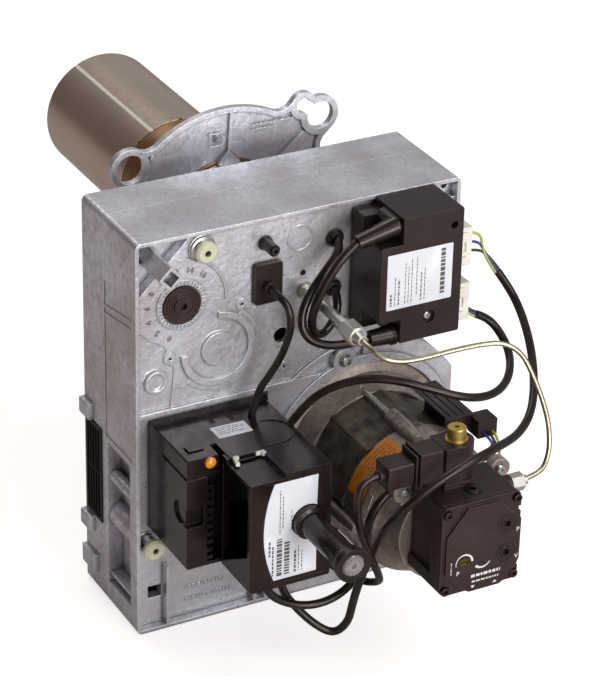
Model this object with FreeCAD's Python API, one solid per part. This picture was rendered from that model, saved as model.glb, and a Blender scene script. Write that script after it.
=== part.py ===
# Pressure-jet oil burner for a heating boiler, millimetres.
# Sizes are taken from the front lower left corner of the die-cast housing:
# X to the right, Y back towards the boiler, Z up. At the end every piece moves
# so that the origin lies on the burner tube's axis, in the flange's boiler face.
import FreeCAD, Part
import math
import os

V = FreeCAD.Vector

# Housing, in two castings joined at the split
HOUSING_W = 282.0
HOUSING_H = 348.0
HOUSING_D = 97.0
SPLIT_Y = 58.0
WALL = 3.5
LIP = 3.2
CORNER_R = 5.0
FIELD_Y = 3.0
FLOOR_Y = 8.6
FACE_T = 4.4
LEDGE_Z = 201.0
LEDGE_T = 4.0
FLOOR_X1 = 114.0
CORNER_POCKET = 44.0
CORNER_POCKET_Y = 14.0
SCREW_CORNER_W = 18.0
SCREW_CORNER_H = 14.0
SCROLL_R = 98.5
SHOULDER_Z = 215.0
STEP_Z = 168.0
RECESS_X = 13.0
RECESS_UP = 20.0
RECESS_Z1 = 151.0
RECESS_BOSS_R = 11.0
RECESS_ROD_R = 5.0
RECESS_ROD_UP = 37.5
RECESS_WEB_UP = 7.0
INLET_Y0 = 64.0
INLET_Z0 = 70.0
INLET_Z1 = 157.0
INLET_VANES = 5
LUG_H = 14.0
LUG_OUT = 5.0

# Burner tube and mounting flange
TUBE_X = 141.0
TUBE_Z = 284.2
TUBE_BELOW_TOP = 63.8
TUBE_R = 52.6
TUBE_WALL = 1.5
TUBE_START_Y = 217.0
TUBE_END_Y = 369.0
NOTCH_R = 1.6
NOTCH_ANGLES = (88, 133, 208, 253, 328, 13)
ROOT_R = 52.0
ROOT_SEAT = 4.0
ROOT_GROOVES = 16
FLANGE_R = 96.5
FLANGE_T = 6.0
FLANGE_FRONT_Y = 130.0
RIM_W = 4.5
RIM_H = 2.5
NECK_R = 47.0
NECK_WALL = 3.5
EAR_HOLE_R = 12.2
EAR_RIM = 4.8
EAR_LEFT = (-84.0, 59.5)
EAR_RIGHT = (85.0, 75.3)
KEY_BIG_R = 11.7
KEY_OFFSET = (-15.2, 10.9)
KEY_SMALL_R = 6.4
KEY_NECK_W = 10.5
PAD_R = 17.5
EAR_FILLET = 13.0
LOWER_HOLE_R = 5.5
LOWER_EAR_R = 15.0
LOWER_EAR = (80.0, -78.0)

# Motor, its shaft and the fan
AXIS_X = 199.0
AXIS_Z = 126.0
COLLAR_IN_R = 77.0
COLLAR_T = 7.0
COLLAR_Y = -3.0
SEAT_R = 70.0
SEAT_Y = 4.0
SHIELD_T = 4.0
STACK_Y1 = -20.0
STACK_L = 58.0
STACK_FLAT_R = 56.0
STACK_SIDES = 8
STACK_TURN = 130.0
STACK_BORE_R = 28.0
SHIELD_R = 58.0
SHIELD_NOSE_R = 44.0
SHIELD_L = 63.0
SHIELD_RIM_L = 26.0
SHIELD_SHOULDER_L = 41.0
SHIELD_SHOULDER = 8.0
BOLT_OUT = 2.0
BOLT_R = 2.5
BOLT_BOSS_R = 6.5
BOLT_TURN = 97.0
BOLTS = 4
ROTOR_GAP = 0.5
SHAFT_R = 6.0
JOURNAL_R = 5.0
RUNNING = 0.03
BEARING_R = 11.0
BEARING_W = 7.0
FAN_R = 66.0
FAN_W = 42.0
FAN_Y = 16.0
FAN_BLADES = 30
FAN_PLATE_T = 1.5
FAN_GAP = 5.0
INLET_R = 46.0
COUPLING_R = 11.0
COUPLING_L = 30.0
CAP_BOX = (224.0, 252.0, -88.0, -28.0, 140.0, 187.5)
MOTOR_SOCKET = (17.0, 16.0, 15.0)
MOTOR_SCREW_R = 5.2
EAR_ANGLES = (102.5, 222.5, 300.0)
EAR_CIRCLE_R = 86.0

# Oil pump, valve and oil line
PUMP_X0 = 163.5
PUMP_W = 69.0
PUMP_Z1 = 178.0
PUMP_H = 78.0
PUMP_D = 42.5
PUMP_CORNER = 6.0
COVER_T = 4.5
RAISED_T = 2.5
COVER_SCREW_IN_X = 4.3
COVER_SCREW_UP = 4.9
COVER_SCREW_DOWN = 5.9
COVER_SCREW_R = 3.6
PORT_R = 5.6
PUMP_SHAFT_R = 4.0
SUCTION_R = 5.9
SUCTION_L = 12.0
SUCTION_DX = 24.0
CLAMP_R = 60.0
CLAMP_ANGLES = (44.0, 134.0)
CLAMP_LUG_R = 9.0
CLAMP_T = 8.0
VALVE_X = 195.0
VALVE_Y = -151.0
VALVE_STEM_R = 4.5
COIL_LIFT = 4.0
COIL_H = 30.0
COIL_R = 13.5
COIL_SIDE = 21.0
COIL_NECK_X = 159.0
NUT_R = 7.3
NUT_H = 11.0
PLUG_L = 21.0
PLUG_H = 20.0
PIPE_D = 4.0

# Nozzle assembly in the tube
NOZZLE_PIPE_X = 145.9
NOZZLE_PIPE_Z = 277.2
NOZZLE_PIPE_R = 4.4
UNION_Y = -58.0
UNION_AF = 15.0
HEATER_R = 14.0
HEATER_Y0 = 205.0
HEATER_L = 84.0
NOZZLE_AF = 15.0
NOZZLE_L = 22.0
BAFFLE_R = 42.0
BAFFLE_Y = 318.0
BAFFLE_SLOTS = 12
ELECTRODE_R = 3.6
ELECTRODE_DX = 10.0
ELECTRODE_UP = 21.0
ELECTRODE_BACK = 80.0
ELECTRODE_AHEAD = 8.0
WIRE_R = 1.0

# Ignition unit
IGN_X0 = 205.0
IGN_W = 53.0
IGN_Z0 = 239.5
IGN_H = 107.0
IGN_D = 45.0
IGN_STEP_W = 19.0
IGN_STEP_Z0 = 260.0
IGN_STEP_H = 65.0
BOOT_R = 8.0
CONNECTOR = (11.0, 18.0, 33.0)

# Control unit and reset extension
CTRL_X0 = 44.5
CTRL_W = 68.5
CTRL_Z0 = 90.0
CTRL_H = 100.0
CTRL_FRONT_Y = -108.0
BASE_X0 = 14.0
BASE_FRONT_Y = -60.0
CTRL_WALL = 2.5
RESET_X = 93.5
RESET_Z = 143.5
RESET_R = 10.5
RESET_STEM_R = 3.5
RESET_L = 72.0
RESET_FLANGE_R = 14.0
LENS_R = 9.2
LENS_GAP = 0.3
LAMP_X = 33.3
LAMP_R = 4.7
BASE_BLOCK_X1 = 31.5
BASE_HEAD_X1 = 40.4
BASE_HEAD_H = 15.0
BASE_GROOVE_H = 3.0
BASE_GAP_D = 16.0
BASE_WINDOW = (14.4, 130.0, 147.3)
TOOTH_PITCH = 7.0
TOOTH_H = 3.0
TOOTH_L = 5.0
COVER_STEP_X = 27.0
COVER_STEP_Y = -69.0
COVER_STEP_H = 4.0
PANEL_LEFT = 54.0
PANEL_R = 110.0
PANEL_DEPTH = 0.8

# Air setting and small pieces on the front
DIAL_X = 39.5
DIAL_Z = 288.5
DIAL_R = 15.7
DIAL_T = 2.5
DIAL_RING_R = 21.0
DIAL_RING_W = 4.5
DIAL_ARC_R = 38.5
POINTER_R = 12.0
SPINDLE_R = 3.0
DAMPER_R = 30.0
SENSOR = (100.2, 275.6, 23.6, 34.0, 5.0)
NIPPLE_X = 110.5
NIPPLE_Z = 325.8
NIPPLE_R = 4.8
NIPPLE_L = 18.0
GROMMETS = ((171.0, 317.5), (170.0, 275.0))
GROMMET_R = 7.0
QUICK_SCREWS = ((56.3, 333.0, 12.0, 11.0), (12.2, 81.5, 18.0, 8.6))
QUICK_R = 3.5
CAP_R = 9.0
CAP_L = 6.5
POST_X = 13.9
POST_Z = 332.0
POST_SIDE = 14.0
POST_L = 47.0
POST_WALL = 2.2
POST_SOCKET = 10.0
POST_SCREW_R = 3.0
POST_SCREW_L = 14.0

# Relief of the front casting: ribs as x and height, the blank port and small bosses
RIB_T = 2.5
RIBS = ((26.0, 58.0), (104.0, 34.0))
MARK_H = 1.2
LINE_W = 1.5
BLANK_X = 70.8
BLANK_Z = 243.7
BLANK_DISC_R = 15.5
BLANK_RING_R = 31.5
BLANK_RING_W = 5.5
BLANK_EDGE_R = 36.0
DIMPLE_X = 18.0
DIMPLE_Z = 226.3
DIMPLE_R = 10.4
KNOCKOUT_X = 140.8
KNOCKOUT_Z = 323.6
KNOCKOUT_R = 11.0
DOT_LUGS = ((90.9, 277.8), (29.8, 244.1), (128.7, 214.1))
DOT_LUG_R = 4.8
DOT_R = 1.3
LOW_STEP = 1.0
LOW_EDGE = ((3.2, 272.7), (13.4, 262.6), (24.9, 255.6), (27.3, 250.8), (24.0, 244.3),
            (27.3, 240.2), (34.0, 235.1), (30.5, 201.0), (3.2, 201.0))
SPARE_X = 126.1
SPARE_Z = 242.1
SPARE_R = 6.5
SENSE_X = 144.3
SENSE_Z = 292.4
SENSE_R = 2.5
SLOT_X0 = 13.2
SLOT_W = 12.0
SLOT_UP = 26.6
SLOT_H = 10.9

TOP_Z = TUBE_Z + TUBE_BELOW_TOP
BOTTOM_Z = TOP_Z - HOUSING_H
FLANGE_BACK_Y = FLANGE_FRONT_Y + FLANGE_T
ORIGIN = V(TUBE_X, FLANGE_BACK_Y, TUBE_Z)
STACK_Y0 = STACK_Y1 - STACK_L
BOLT_CIRCLE_R = SHIELD_R + BOLT_OUT
SHIELD_Y0 = STACK_Y0 - SHIELD_L
PUMP_Y1 = SHIELD_Y0
PUMP_Y0 = PUMP_Y1 - PUMP_D
COVER_Y0 = PUMP_Y0 - COVER_T
PUMP_X1 = PUMP_X0 + PUMP_W
PUMP_Z0 = PUMP_Z1 - PUMP_H
COIL_Z0 = PUMP_Z1 + COIL_LIFT
COIL_Z1 = COIL_Z0 + COIL_H
CAVITY_Y0 = CORNER_POCKET_Y + WALL
CTRL_X1 = CTRL_X0 + CTRL_W
CTRL_Z1 = CTRL_Z0 + CTRL_H
LAMP_Z = CTRL_Z1 - LAMP_R - 0.2
BASE_HEAD_Z = CTRL_Z1 - BASE_HEAD_H
POST_FRONT_Y = CORNER_POCKET_Y - POST_L


def box(x0, x1, y0, y1, z0, z1):
    return Part.makeBox(x1 - x0, y1 - y0, z1 - z0, V(x0, y0, z0))


def rod_x(y, z, r, x0, x1):
    return Part.makeCylinder(r, x1 - x0, V(x0, y, z), V(1, 0, 0))


def rod_y(x, z, r, y0, y1):
    return Part.makeCylinder(r, y1 - y0, V(x, y0, z), V(0, 1, 0))


def rod_z(x, y, r, z0, z1):
    return Part.makeCylinder(r, z1 - z0, V(x, y, z0), V(0, 0, 1))


def ring_y(x, z, r_out, r_in, y0, y1):
    return rod_y(x, z, r_out, y0, y1).cut(rod_y(x, z, r_in, y0 - 1, y1 + 1))


def prism_y(points, y0, y1):
    """Extrude an outline of (x, z) points from y0 to y1."""
    wire = Part.makePolygon([V(x, y0, z) for x, z in points + points[:1]])
    return Part.Face(wire).extrude(V(0, y1 - y0, 0))


def prism_x(points, x0, x1):
    """Prism along X from corners given as (y, z)."""
    wire = Part.makePolygon([V(x0, y, z) for y, z in [*points, points[0]]])
    return Part.Face(wire).extrude(V(x1 - x0, 0, 0))


def arc_band(x, z, r_out, width, y0, y1, start, end):
    """Part of a flat ring between two angles, counted from +X towards +Z."""
    sector = [(x, z)] + [polar(2 * r_out, start + (end - start) * i / 4, x, z) for i in range(5)]
    return ring_y(x, z, r_out, r_out - width, y0, y1).common(prism_y(sector, y0 - 1, y1 + 1))


def turned_y(x, z, profile):
    """Turn an outline of (radius, y) points about an axis along Y."""
    wire = Part.makePolygon([V(x + r, y, z) for r, y in profile + profile[:1]])
    return Part.Face(wire).revolve(V(x, 0, z), V(0, 1, 0), 360)


def hexagon_y(x, z, across_flats, y0, y1, turn=0.0):
    r = across_flats / math.sqrt(3)
    corners = [(x + r * math.cos(math.radians(turn + 60 * i)),
                z + r * math.sin(math.radians(turn + 60 * i))) for i in range(6)]
    return prism_y(corners, y0, y1)


def polar(r, degrees, x=AXIS_X, z=AXIS_Z):
    a = math.radians(degrees)
    return x + r * math.cos(a), z + r * math.sin(a)


def round_along(shape, axis, r, keep=None):
    """Round the straight edges that run along one axis."""
    edges = []
    for edge in shape.Edges:
        if not isinstance(edge.Curve, Part.Line):
            continue
        d = edge.tangentAt(edge.FirstParameter)
        if abs(abs(d.dot(axis)) - 1) < 1e-6 and (keep is None or keep(edge.CenterOfMass)):
            edges.append(edge)
    return shape.makeFillet(r, edges)


def join(first, *rest):
    return first.fuse(list(rest)).removeSplitter()


def group(*solids):
    return Part.makeCompound(list(solids))


def outline(y0, y1, inset=0.0):
    """The castings' outline: a rectangle with the fan scroll's shoulder cut in."""
    block = box(inset, HOUSING_W - inset, y0, y1, BOTTOM_Z + inset, TOP_Z - inset)
    block = round_along(block, V(0, 1, 0), max(CORNER_R - inset, 1.0))
    shoulder = box(AXIS_X, HOUSING_W + 1, y0 - 1, y1 + 1, STEP_Z - inset, SHOULDER_Z + inset)
    return block.cut(shoulder.cut(rod_y(AXIS_X, AXIS_Z, SCROLL_R - inset, y0 - 2, y1 + 2)))


def front_housing():
    body = outline(0, SPLIT_Y)
    body = body.cut(outline(CAVITY_Y0, SPLIT_Y + 1, WALL))
    # upper field, lower floor and the corner pocket, each with its own depth
    top = TOP_Z - LIP
    body = body.cut(box(LIP, HOUSING_W - LIP, -1, FIELD_Y, LEDGE_Z, top)
                    .cut(box(AXIS_X, HOUSING_W, -2, FIELD_Y + 1, BOTTOM_Z, SHOULDER_Z + LIP)))
    body = body.cut(box(LIP, FLOOR_X1, -1, FLOOR_Y, BOTTOM_Z + LIP, LEDGE_Z - LEDGE_T))
    body = body.cut(prism_y([(LIP, top), (LIP + CORNER_POCKET, top), (LIP, top - CORNER_POCKET)],
                            -1, CORNER_POCKET_Y))
    body = body.cut(prism_y(LOW_EDGE, FIELD_Y - 1, FIELD_Y + LOW_STEP))
    body = body.cut(box(HOUSING_W - LIP - SCREW_CORNER_W, HOUSING_W - LIP, -1, FLOOR_Y + 2,
                        top - SCREW_CORNER_H, top))
    # thin face behind the upper field
    body = body.cut(box(CORNER_POCKET + 10, HOUSING_W - 24, FIELD_Y + FACE_T, CAVITY_Y0 + 1,
                        SHOULDER_Z + WALL, TOP_Z - WALL))
    # motor collar with its seat, and the scroll's raised rims
    collar = ring_y(AXIS_X, AXIS_Z, COLLAR_IN_R + COLLAR_T, COLLAR_IN_R, COLLAR_Y, CAVITY_Y0)
    rim = ring_y(AXIS_X, AXIS_Z, SCROLL_R, SCROLL_R - 2.5, 0, FLOOR_Y)
    rim = rim.common(box(AXIS_X - SCROLL_R, AXIS_X + 30, -1, FLOOR_Y + 1, AXIS_Z + 30, SHOULDER_Z + 12))
    ears = [rod_y(*polar(EAR_CIRCLE_R, a), MOTOR_SCREW_R + 5, COLLAR_Y - 1, CAVITY_Y0)
            for a in EAR_ANGLES]
    body = join(body, collar, rim, *ears)
    body = body.cut(rod_y(AXIS_X, AXIS_Z, SEAT_R, -10, CAVITY_Y0 + 1))
    body = body.cut(rod_y(AXIS_X, AXIS_Z, COLLAR_IN_R, -10, SEAT_Y))
    body = body.common(outline(-80, SPLIT_Y))
    # ribs of the lower field
    ribs = [box(x, x + RIB_T, 0, FLOOR_Y, BOTTOM_Z + LIP, BOTTOM_Z + up) for x, up in RIBS]
    body = join(body, hood_post(), *ribs, *field_marks())
    # recess in the left side, with the screw bosses that run through it
    recess_z0 = BOTTOM_Z + RECESS_UP
    block = box(0, RECESS_X + WALL, FLOOR_Y, SPLIT_Y, recess_z0 - WALL, RECESS_Z1 + WALL)
    body = join(body, block.common(outline(0, SPLIT_Y)))
    body = body.cut(box(-1, RECESS_X, FLOOR_Y + WALL, SPLIT_Y - WALL, recess_z0, RECESS_Z1))
    x, z, _, _ = QUICK_SCREWS[1]
    web_z = recess_z0 + RECESS_WEB_UP
    bosses = [rod_y(x, z + 1, RECESS_BOSS_R, FLOOR_Y, SPLIT_Y),
              rod_y(RECESS_ROD_R + 1.5, z + RECESS_ROD_UP, RECESS_ROD_R, FLOOR_Y, SPLIT_Y),
              box(2, RECESS_X + 1, FLOOR_Y, SPLIT_Y, web_z, web_z + 2.5)]
    body = join(body, *bosses)
    # inner volute wall around the fan, open towards the tube
    wall_r = FAN_R + FAN_GAP + 3
    volute = ring_y(AXIS_X, AXIS_Z, wall_r + WALL, wall_r, CAVITY_Y0 - 1, FAN_Y + FAN_W + 6)
    volute = volute.cut(box(AXIS_X - wall_r - 5, AXIS_X, 0, HOUSING_D, AXIS_Z + 20, AXIS_Z + wall_r + 5))
    body = join(body, volute)
    # holes through the face
    holes = [rod_y(DIAL_X, DIAL_Z, SPINDLE_R + RUNNING, -1, CAVITY_Y0 + 1),
             rod_y(NOZZLE_PIPE_X, NOZZLE_PIPE_Z, NOZZLE_PIPE_R + 0.05, -1, CAVITY_Y0 + 1),
             rod_y(SPARE_X, SPARE_Z, SPARE_R, -1, CAVITY_Y0 + 1),
             rod_y(SENSE_X, SENSE_Z, SENSE_R, -1, CAVITY_Y0 + 1),
             rod_y(NIPPLE_X, NIPPLE_Z, NIPPLE_R - 1.5, -1, CAVITY_Y0 + 1),
             rod_y(HOUSING_W - LIP - 6, top - 7, 2.5, 0, CAVITY_Y0 + 1),
             box(SLOT_X0, SLOT_X0 + SLOT_W, 0, CAVITY_Y0 + 1, BOTTOM_Z + SLOT_UP,
                 BOTTOM_Z + SLOT_UP + SLOT_H)]
    holes += [rod_y(x, z, GROMMET_R - 2.5, -1, CAVITY_Y0 + 1) for x, z in GROMMETS]
    holes += [rod_y(x, z, QUICK_R + 0.1, -1, CAVITY_Y0 + 8) for x, z, _, _ in QUICK_SCREWS]
    holes += [rod_y(x, z, DOT_R, -1, FIELD_Y + 2) for x, z in DOT_LUGS]
    holes += [rod_y(*polar(EAR_CIRCLE_R, a), 2.6, COLLAR_Y - 2, CAVITY_Y0 - 4) for a in EAR_ANGLES]
    holes.append(box(SENSOR[0] + 6, SENSOR[0] + SENSOR[2] - 6, -1, CAVITY_Y0 + 1,
                     SENSOR[1] + 6, SENSOR[1] + SENSOR[3] - 6))
    return body.cut(holes)


def hood_post():
    """Square post that carries the hood, turned on its corner, with a screw hole in its socket."""
    half = POST_SIDE / 2
    inner = half - POST_WALL
    post = box(-half, half, POST_FRONT_Y, CORNER_POCKET_Y + 1, -half, half)
    post = post.cut(box(-inner, inner, POST_FRONT_Y - 1, POST_FRONT_Y + POST_SOCKET, -inner, inner))
    post = post.cut(rod_y(0, 0, POST_SCREW_R, POST_FRONT_Y, POST_FRONT_Y + POST_SOCKET + POST_SCREW_L))
    post.rotate(V(0, 0, 0), V(0, 1, 0), 45)
    post.translate(V(POST_X, 0, POST_Z))
    return post


def field_marks():
    """Raised rings, bosses and lugs of the front casting's upper field."""
    back = FIELD_Y + 0.5
    mark = FIELD_Y - MARK_H
    x, z, _, washer_r = QUICK_SCREWS[0]
    seat = rod_y(x, z, washer_r + 0.5, mark - 1, FIELD_Y)
    dial_arc = arc_band(DIAL_X, DIAL_Z, DIAL_ARC_R, LINE_W, mark, back, -5, 95).cut(seat)
    blank = turned_y(BLANK_X, BLANK_Z, [(0, back), (BLANK_DISC_R, back), (BLANK_DISC_R - 1.5, FIELD_Y - 2),
                                        (0, FIELD_Y - 2)])
    low = back + LOW_STEP
    dimple = turned_y(DIMPLE_X, DIMPLE_Z, [(0, low), (DIMPLE_R, low), (DIMPLE_R - 1.2, FIELD_Y - 2),
                                           (DIMPLE_R - 3, FIELD_Y - 2), (DIMPLE_R - 4.8, FIELD_Y - 0.4),
                                           (0, FIELD_Y - 0.4)])
    lugs = [rod_y(x, z, DOT_LUG_R, mark, low) for x, z in DOT_LUGS]
    return [ring_y(DIAL_X, DIAL_Z, DIAL_RING_R, DIAL_RING_R - DIAL_RING_W, mark, back), dial_arc,
            arc_band(BLANK_X, BLANK_Z, BLANK_RING_R, BLANK_RING_W, FIELD_Y - 2, back, -180, 90),
            arc_band(BLANK_X, BLANK_Z, BLANK_EDGE_R, BLANK_EDGE_R - BLANK_RING_R + 0.1, FIELD_Y - 0.8,
                     back, -137, 55),
            ring_y(KNOCKOUT_X, KNOCKOUT_Z, KNOCKOUT_R, KNOCKOUT_R - 1, FIELD_Y - 0.8, back),
            blank, dimple, *lugs]


def rear_housing():
    body = outline(SPLIT_Y, HOUSING_D).cut(outline(SPLIT_Y - 1, HOUSING_D - WALL, WALL))
    body = body.cut(rod_y(TUBE_X, TUBE_Z, NECK_R - NECK_WALL, SPLIT_Y, HOUSING_D + 1))
    # air inlet in the left side, between two hinge lugs, and a foot below
    body = body.cut(box(-1, WALL + 1, INLET_Y0, HOUSING_D - WALL, INLET_Z0, INLET_Z1))
    lugs = [round_along(box(-LUG_OUT, WALL, INLET_Y0 + 16, HOUSING_D, z, z + LUG_H), V(0, 1, 0), 1.5,
                        lambda c: c.x < 0) for z in (INLET_Z1 + 1, INLET_Z0 - LUG_H - 2)]
    foot = box(-4, 4, INLET_Y0 + 10, HOUSING_D, BOTTOM_Z + 18, BOTTOM_Z + 34)
    return join(body, foot, *lugs)


def air_inlet_grille():
    """Black plastic insert with upright vanes, pushed into the side opening."""
    x0, x1 = -1.0, WALL - 0.5
    y0, y1 = INLET_Y0 + 0.2, HOUSING_D - WALL - 0.2
    z0, z1 = INLET_Z0 + 0.2, INLET_Z1 - 0.2
    frame = box(x0, x1, y0, y1, z0, z1)
    frame = frame.cut(box(x0 - 1, x1 + 1, y0 + 2.5, y1 - 2.5, z0 + 3, z1 - 3))
    vanes = []
    for i in range(INLET_VANES):
        vane = box(-2.0, 2.0, -0.7, 0.7, z0 + 2, z1 - 2)
        vane.rotate(V(0, 0, 0), V(0, 0, 1), 40)
        vane.translate(V((x0 + x1) / 2, y0 + (i + 1) * (y1 - y0) / (INLET_VANES + 1), 0))
        vanes.append(vane.common(box(x0, x1, y0, y1, z0, z1)))
    bar = box(x0 + 0.5, x1 - 0.5, y0, y1, (z0 + z1) / 2 - 1, (z0 + z1) / 2 + 1)
    return join(frame, bar, *vanes)


def keyhole(extra, y0, y1):
    """The right ear's opening: two round lobes joined by a neck."""
    big_x, big_z = TUBE_X + EAR_RIGHT[0], TUBE_Z + EAR_RIGHT[1]
    dx, dz = KEY_OFFSET
    neck = box(0, math.hypot(dx, dz), y0, y1, -KEY_NECK_W / 2 - extra, KEY_NECK_W / 2 + extra)
    neck.rotate(V(0, 0, 0), V(0, 1, 0), -math.degrees(math.atan2(dz, dx)))
    neck.translate(V(big_x, 0, big_z))
    return join(rod_y(big_x, big_z, KEY_BIG_R + extra, y0, y1), neck,
                rod_y(big_x + dx, big_z + dz, KEY_SMALL_R + extra, y0, y1))


def flange_outline(inset, y0, y1):
    """The flange's edge, moved inwards by the inset: a disc with four ears."""
    rim = EAR_RIM - inset
    small = (EAR_RIGHT[0] + KEY_OFFSET[0], EAR_RIGHT[1] + KEY_OFFSET[1])
    ears = [(EAR_LEFT, EAR_HOLE_R + rim), (EAR_RIGHT, KEY_BIG_R + rim), (small, KEY_SMALL_R + rim),
            (LOWER_EAR, LOWER_EAR_R - inset), ((-LOWER_EAR[0], LOWER_EAR[1]), LOWER_EAR_R - inset)]
    body = rod_y(TUBE_X, TUBE_Z, FLANGE_R - inset, y0, y1)
    for (dx, dz), r in ears:
        web = box(0, math.hypot(dx, dz), y0, y1, -r, r)
        web.rotate(V(0, 0, 0), V(0, 1, 0), -math.degrees(math.atan2(dz, dx)))
        web.translate(V(TUBE_X, 0, TUBE_Z))
        body = join(body, join(web, rod_y(TUBE_X + dx, TUBE_Z + dz, r, y0, y1)))
    return round_along(body, V(0, 1, 0), EAR_FILLET + inset,
                       lambda c: abs(math.hypot(c.x - TUBE_X, c.z - TUBE_Z) - FLANGE_R + inset) < 0.3
                       and abs(c.z - TUBE_Z) > FLANGE_R / 4)


def mounting_flange():
    y0, y1 = FLANGE_FRONT_Y, FLANGE_BACK_Y
    body = flange_outline(0, y0, y1)
    # the front is hollowed inside its rim, except for pads, ribs and the neck
    pocket = flange_outline(RIM_W, y0 - 1, y0 + RIM_H)
    left_x, left_z = TUBE_X + EAR_LEFT[0], TUBE_Z + EAR_LEFT[1]
    keep = [keyhole(PAD_R - KEY_BIG_R, y0 - 2, y1), rod_y(left_x, left_z, EAR_HOLE_R + EAR_RIM, y0 - 2, y1),
            rod_y(TUBE_X, TUBE_Z, NECK_R + 2, y0 - 2, y1)]
    for a in (42, 87, 225, 315):
        rib = box(NECK_R - 2, FLANGE_R - 2, y0 - 2, y1, -1.5, 1.5)
        rib.rotate(V(0, 0, 0), V(0, 1, 0), -a)
        rib.translate(V(TUBE_X, 0, TUBE_Z))
        keep.append(rib)
    for piece in keep:
        pocket = pocket.cut(piece)
    body = body.cut(pocket)
    neck = rod_y(TUBE_X, TUBE_Z, NECK_R, HOUSING_D, y0 + 1)
    boss = box(-7, 7, y0 - 2, y0 + RIM_H, -7, 7)
    boss.rotate(V(0, 0, 0), V(0, 1, 0), 45)
    boss.translate(V(TUBE_X + 1.7, 0, TUBE_Z + NECK_R + 3))
    pin = rod_y(TUBE_X - 64.2, TUBE_Z + 65.4, 2.5, y0 + 0.5, y1 - 1)
    for piece in (neck, boss, pin):
        body = join(body, piece)
    holes = [keyhole(0, y0 - 3, y1 + 1), rod_y(left_x, left_z, EAR_HOLE_R, y0 - 3, y1 + 1),
             rod_y(TUBE_X, TUBE_Z, ROOT_R + 0.05, y1 - ROOT_SEAT, y1 + 1),
             rod_y(TUBE_X, TUBE_Z, NECK_R - NECK_WALL, HOUSING_D - 1, y1 + 1)]
    for side in (-1, 1):
        holes.append(rod_y(TUBE_X + side * LOWER_EAR[0], TUBE_Z + LOWER_EAR[1], LOWER_HOLE_R,
                           y0 - 3, y1 + 1))
    for hole in holes:
        body = body.cut(hole)
    return body


def burner_tube():
    tube = ring_y(TUBE_X, TUBE_Z, TUBE_R, TUBE_R - TUBE_WALL, TUBE_START_Y, TUBE_END_Y)
    # small notches where the tube is pinned on its root
    cuts = []
    for a in NOTCH_ANGLES:
        x, z = polar(TUBE_R - 3, a, TUBE_X, TUBE_Z)
        notch = Part.makeCylinder(NOTCH_R, 6, V(x, TUBE_START_Y, z), V(x - TUBE_X, 0, z - TUBE_Z))
        cuts.append(notch)
    return tube.cut(cuts)


def tube_root():
    """Grooved steel tube from the flange; the burner tube is pushed over its end."""
    y0 = FLANGE_BACK_Y - ROOT_SEAT
    inner = TUBE_R - TUBE_WALL - 0.02
    pitch = (TUBE_START_Y - FLANGE_BACK_Y - 4) / ROOT_GROOVES
    profile = [(inner - TUBE_WALL, y0), (ROOT_R, y0)]
    for i in range(ROOT_GROOVES):
        y = FLANGE_BACK_Y + 2 + i * pitch
        profile += [(ROOT_R, y), (ROOT_R - 0.7, y + 0.3 * pitch), (ROOT_R, y + 0.6 * pitch)]
    profile += [(ROOT_R, TUBE_START_Y), (inner, TUBE_START_Y), (inner, TUBE_START_Y + 12),
                (inner - TUBE_WALL, TUBE_START_Y + 12)]
    return turned_y(TUBE_X, TUBE_Z, profile)


def octagon(flat_r, y0, y1):
    r = flat_r / math.cos(math.pi / STACK_SIDES)
    corners = [polar(r, STACK_TURN + 360.0 / STACK_SIDES * i) for i in range(STACK_SIDES)]
    return prism_y(corners, y0, y1)


def bolt_places(r=BOLT_CIRCLE_R):
    return [polar(r, BOLT_TURN + 360.0 / BOLTS * i) for i in range(BOLTS)]


def motor_rear_shield():
    """Bowl that closes the fan side and centres the motor in the collar."""
    out = [(COLLAR_IN_R - 0.5, SEAT_Y), (COLLAR_IN_R - 0.5, -0.5), (COLLAR_IN_R - 9, -2.5),
           (SHIELD_R + 4, STACK_Y1 + 6), (SHIELD_R + 1, STACK_Y1), (STACK_FLAT_R - 8, STACK_Y1),
           (STACK_FLAT_R - 8, STACK_Y1 + 5), (BEARING_R + 4, -6), (BEARING_R + 4, -10),
           (BEARING_R, -10), (BEARING_R, SEAT_Y), (BEARING_R + 8, SEAT_Y)]
    body = turned_y(AXIS_X, AXIS_Z, out)
    lip_y = SEAT_Y - 1 - BEARING_W
    lip = ring_y(AXIS_X, AXIS_Z, BEARING_R + 1, JOURNAL_R + 2, lip_y - 2, lip_y)
    body = join(body, lip)
    return body.cut([rod_y(x, z, BOLT_R + 0.1, STACK_Y1 - 1, STACK_Y1 + 14) for x, z in bolt_places()])


def stator_stack():
    stack = octagon(STACK_FLAT_R, STACK_Y0, STACK_Y1)
    stack = stack.cut(rod_y(AXIS_X, AXIS_Z, STACK_BORE_R, STACK_Y0 - 1, STACK_Y1 + 1))
    # lamination grooves, coil slots and the grooves for the tie bolts
    cuts = []
    for i in range(24):
        slot = box(STACK_BORE_R - 1, STACK_BORE_R + 13, STACK_Y0 - 1, STACK_Y1 + 1, -2, 2)
        slot.rotate(V(0, 0, 0), V(0, 1, 0), 15.0 * i)
        slot.translate(V(AXIS_X, 0, AXIS_Z))
        cuts.append(slot)
    cuts += [rod_y(x, z, BOLT_R + 2.2, STACK_Y0 - 1, STACK_Y1 + 1) for x, z in bolt_places()]
    return stack.cut(cuts)


def stator_windings():
    """End turns of copper on both faces of the stack."""
    r0, r1 = STACK_BORE_R + 1, STACK_BORE_R + 14
    rear = ring_y(AXIS_X, AXIS_Z, r1, r0, STACK_Y1, STACK_Y1 + 3.5)
    front = ring_y(AXIS_X, AXIS_Z, r1, r0, STACK_Y0 - 16, STACK_Y0)
    return group(rear, round_rings(front))


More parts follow.
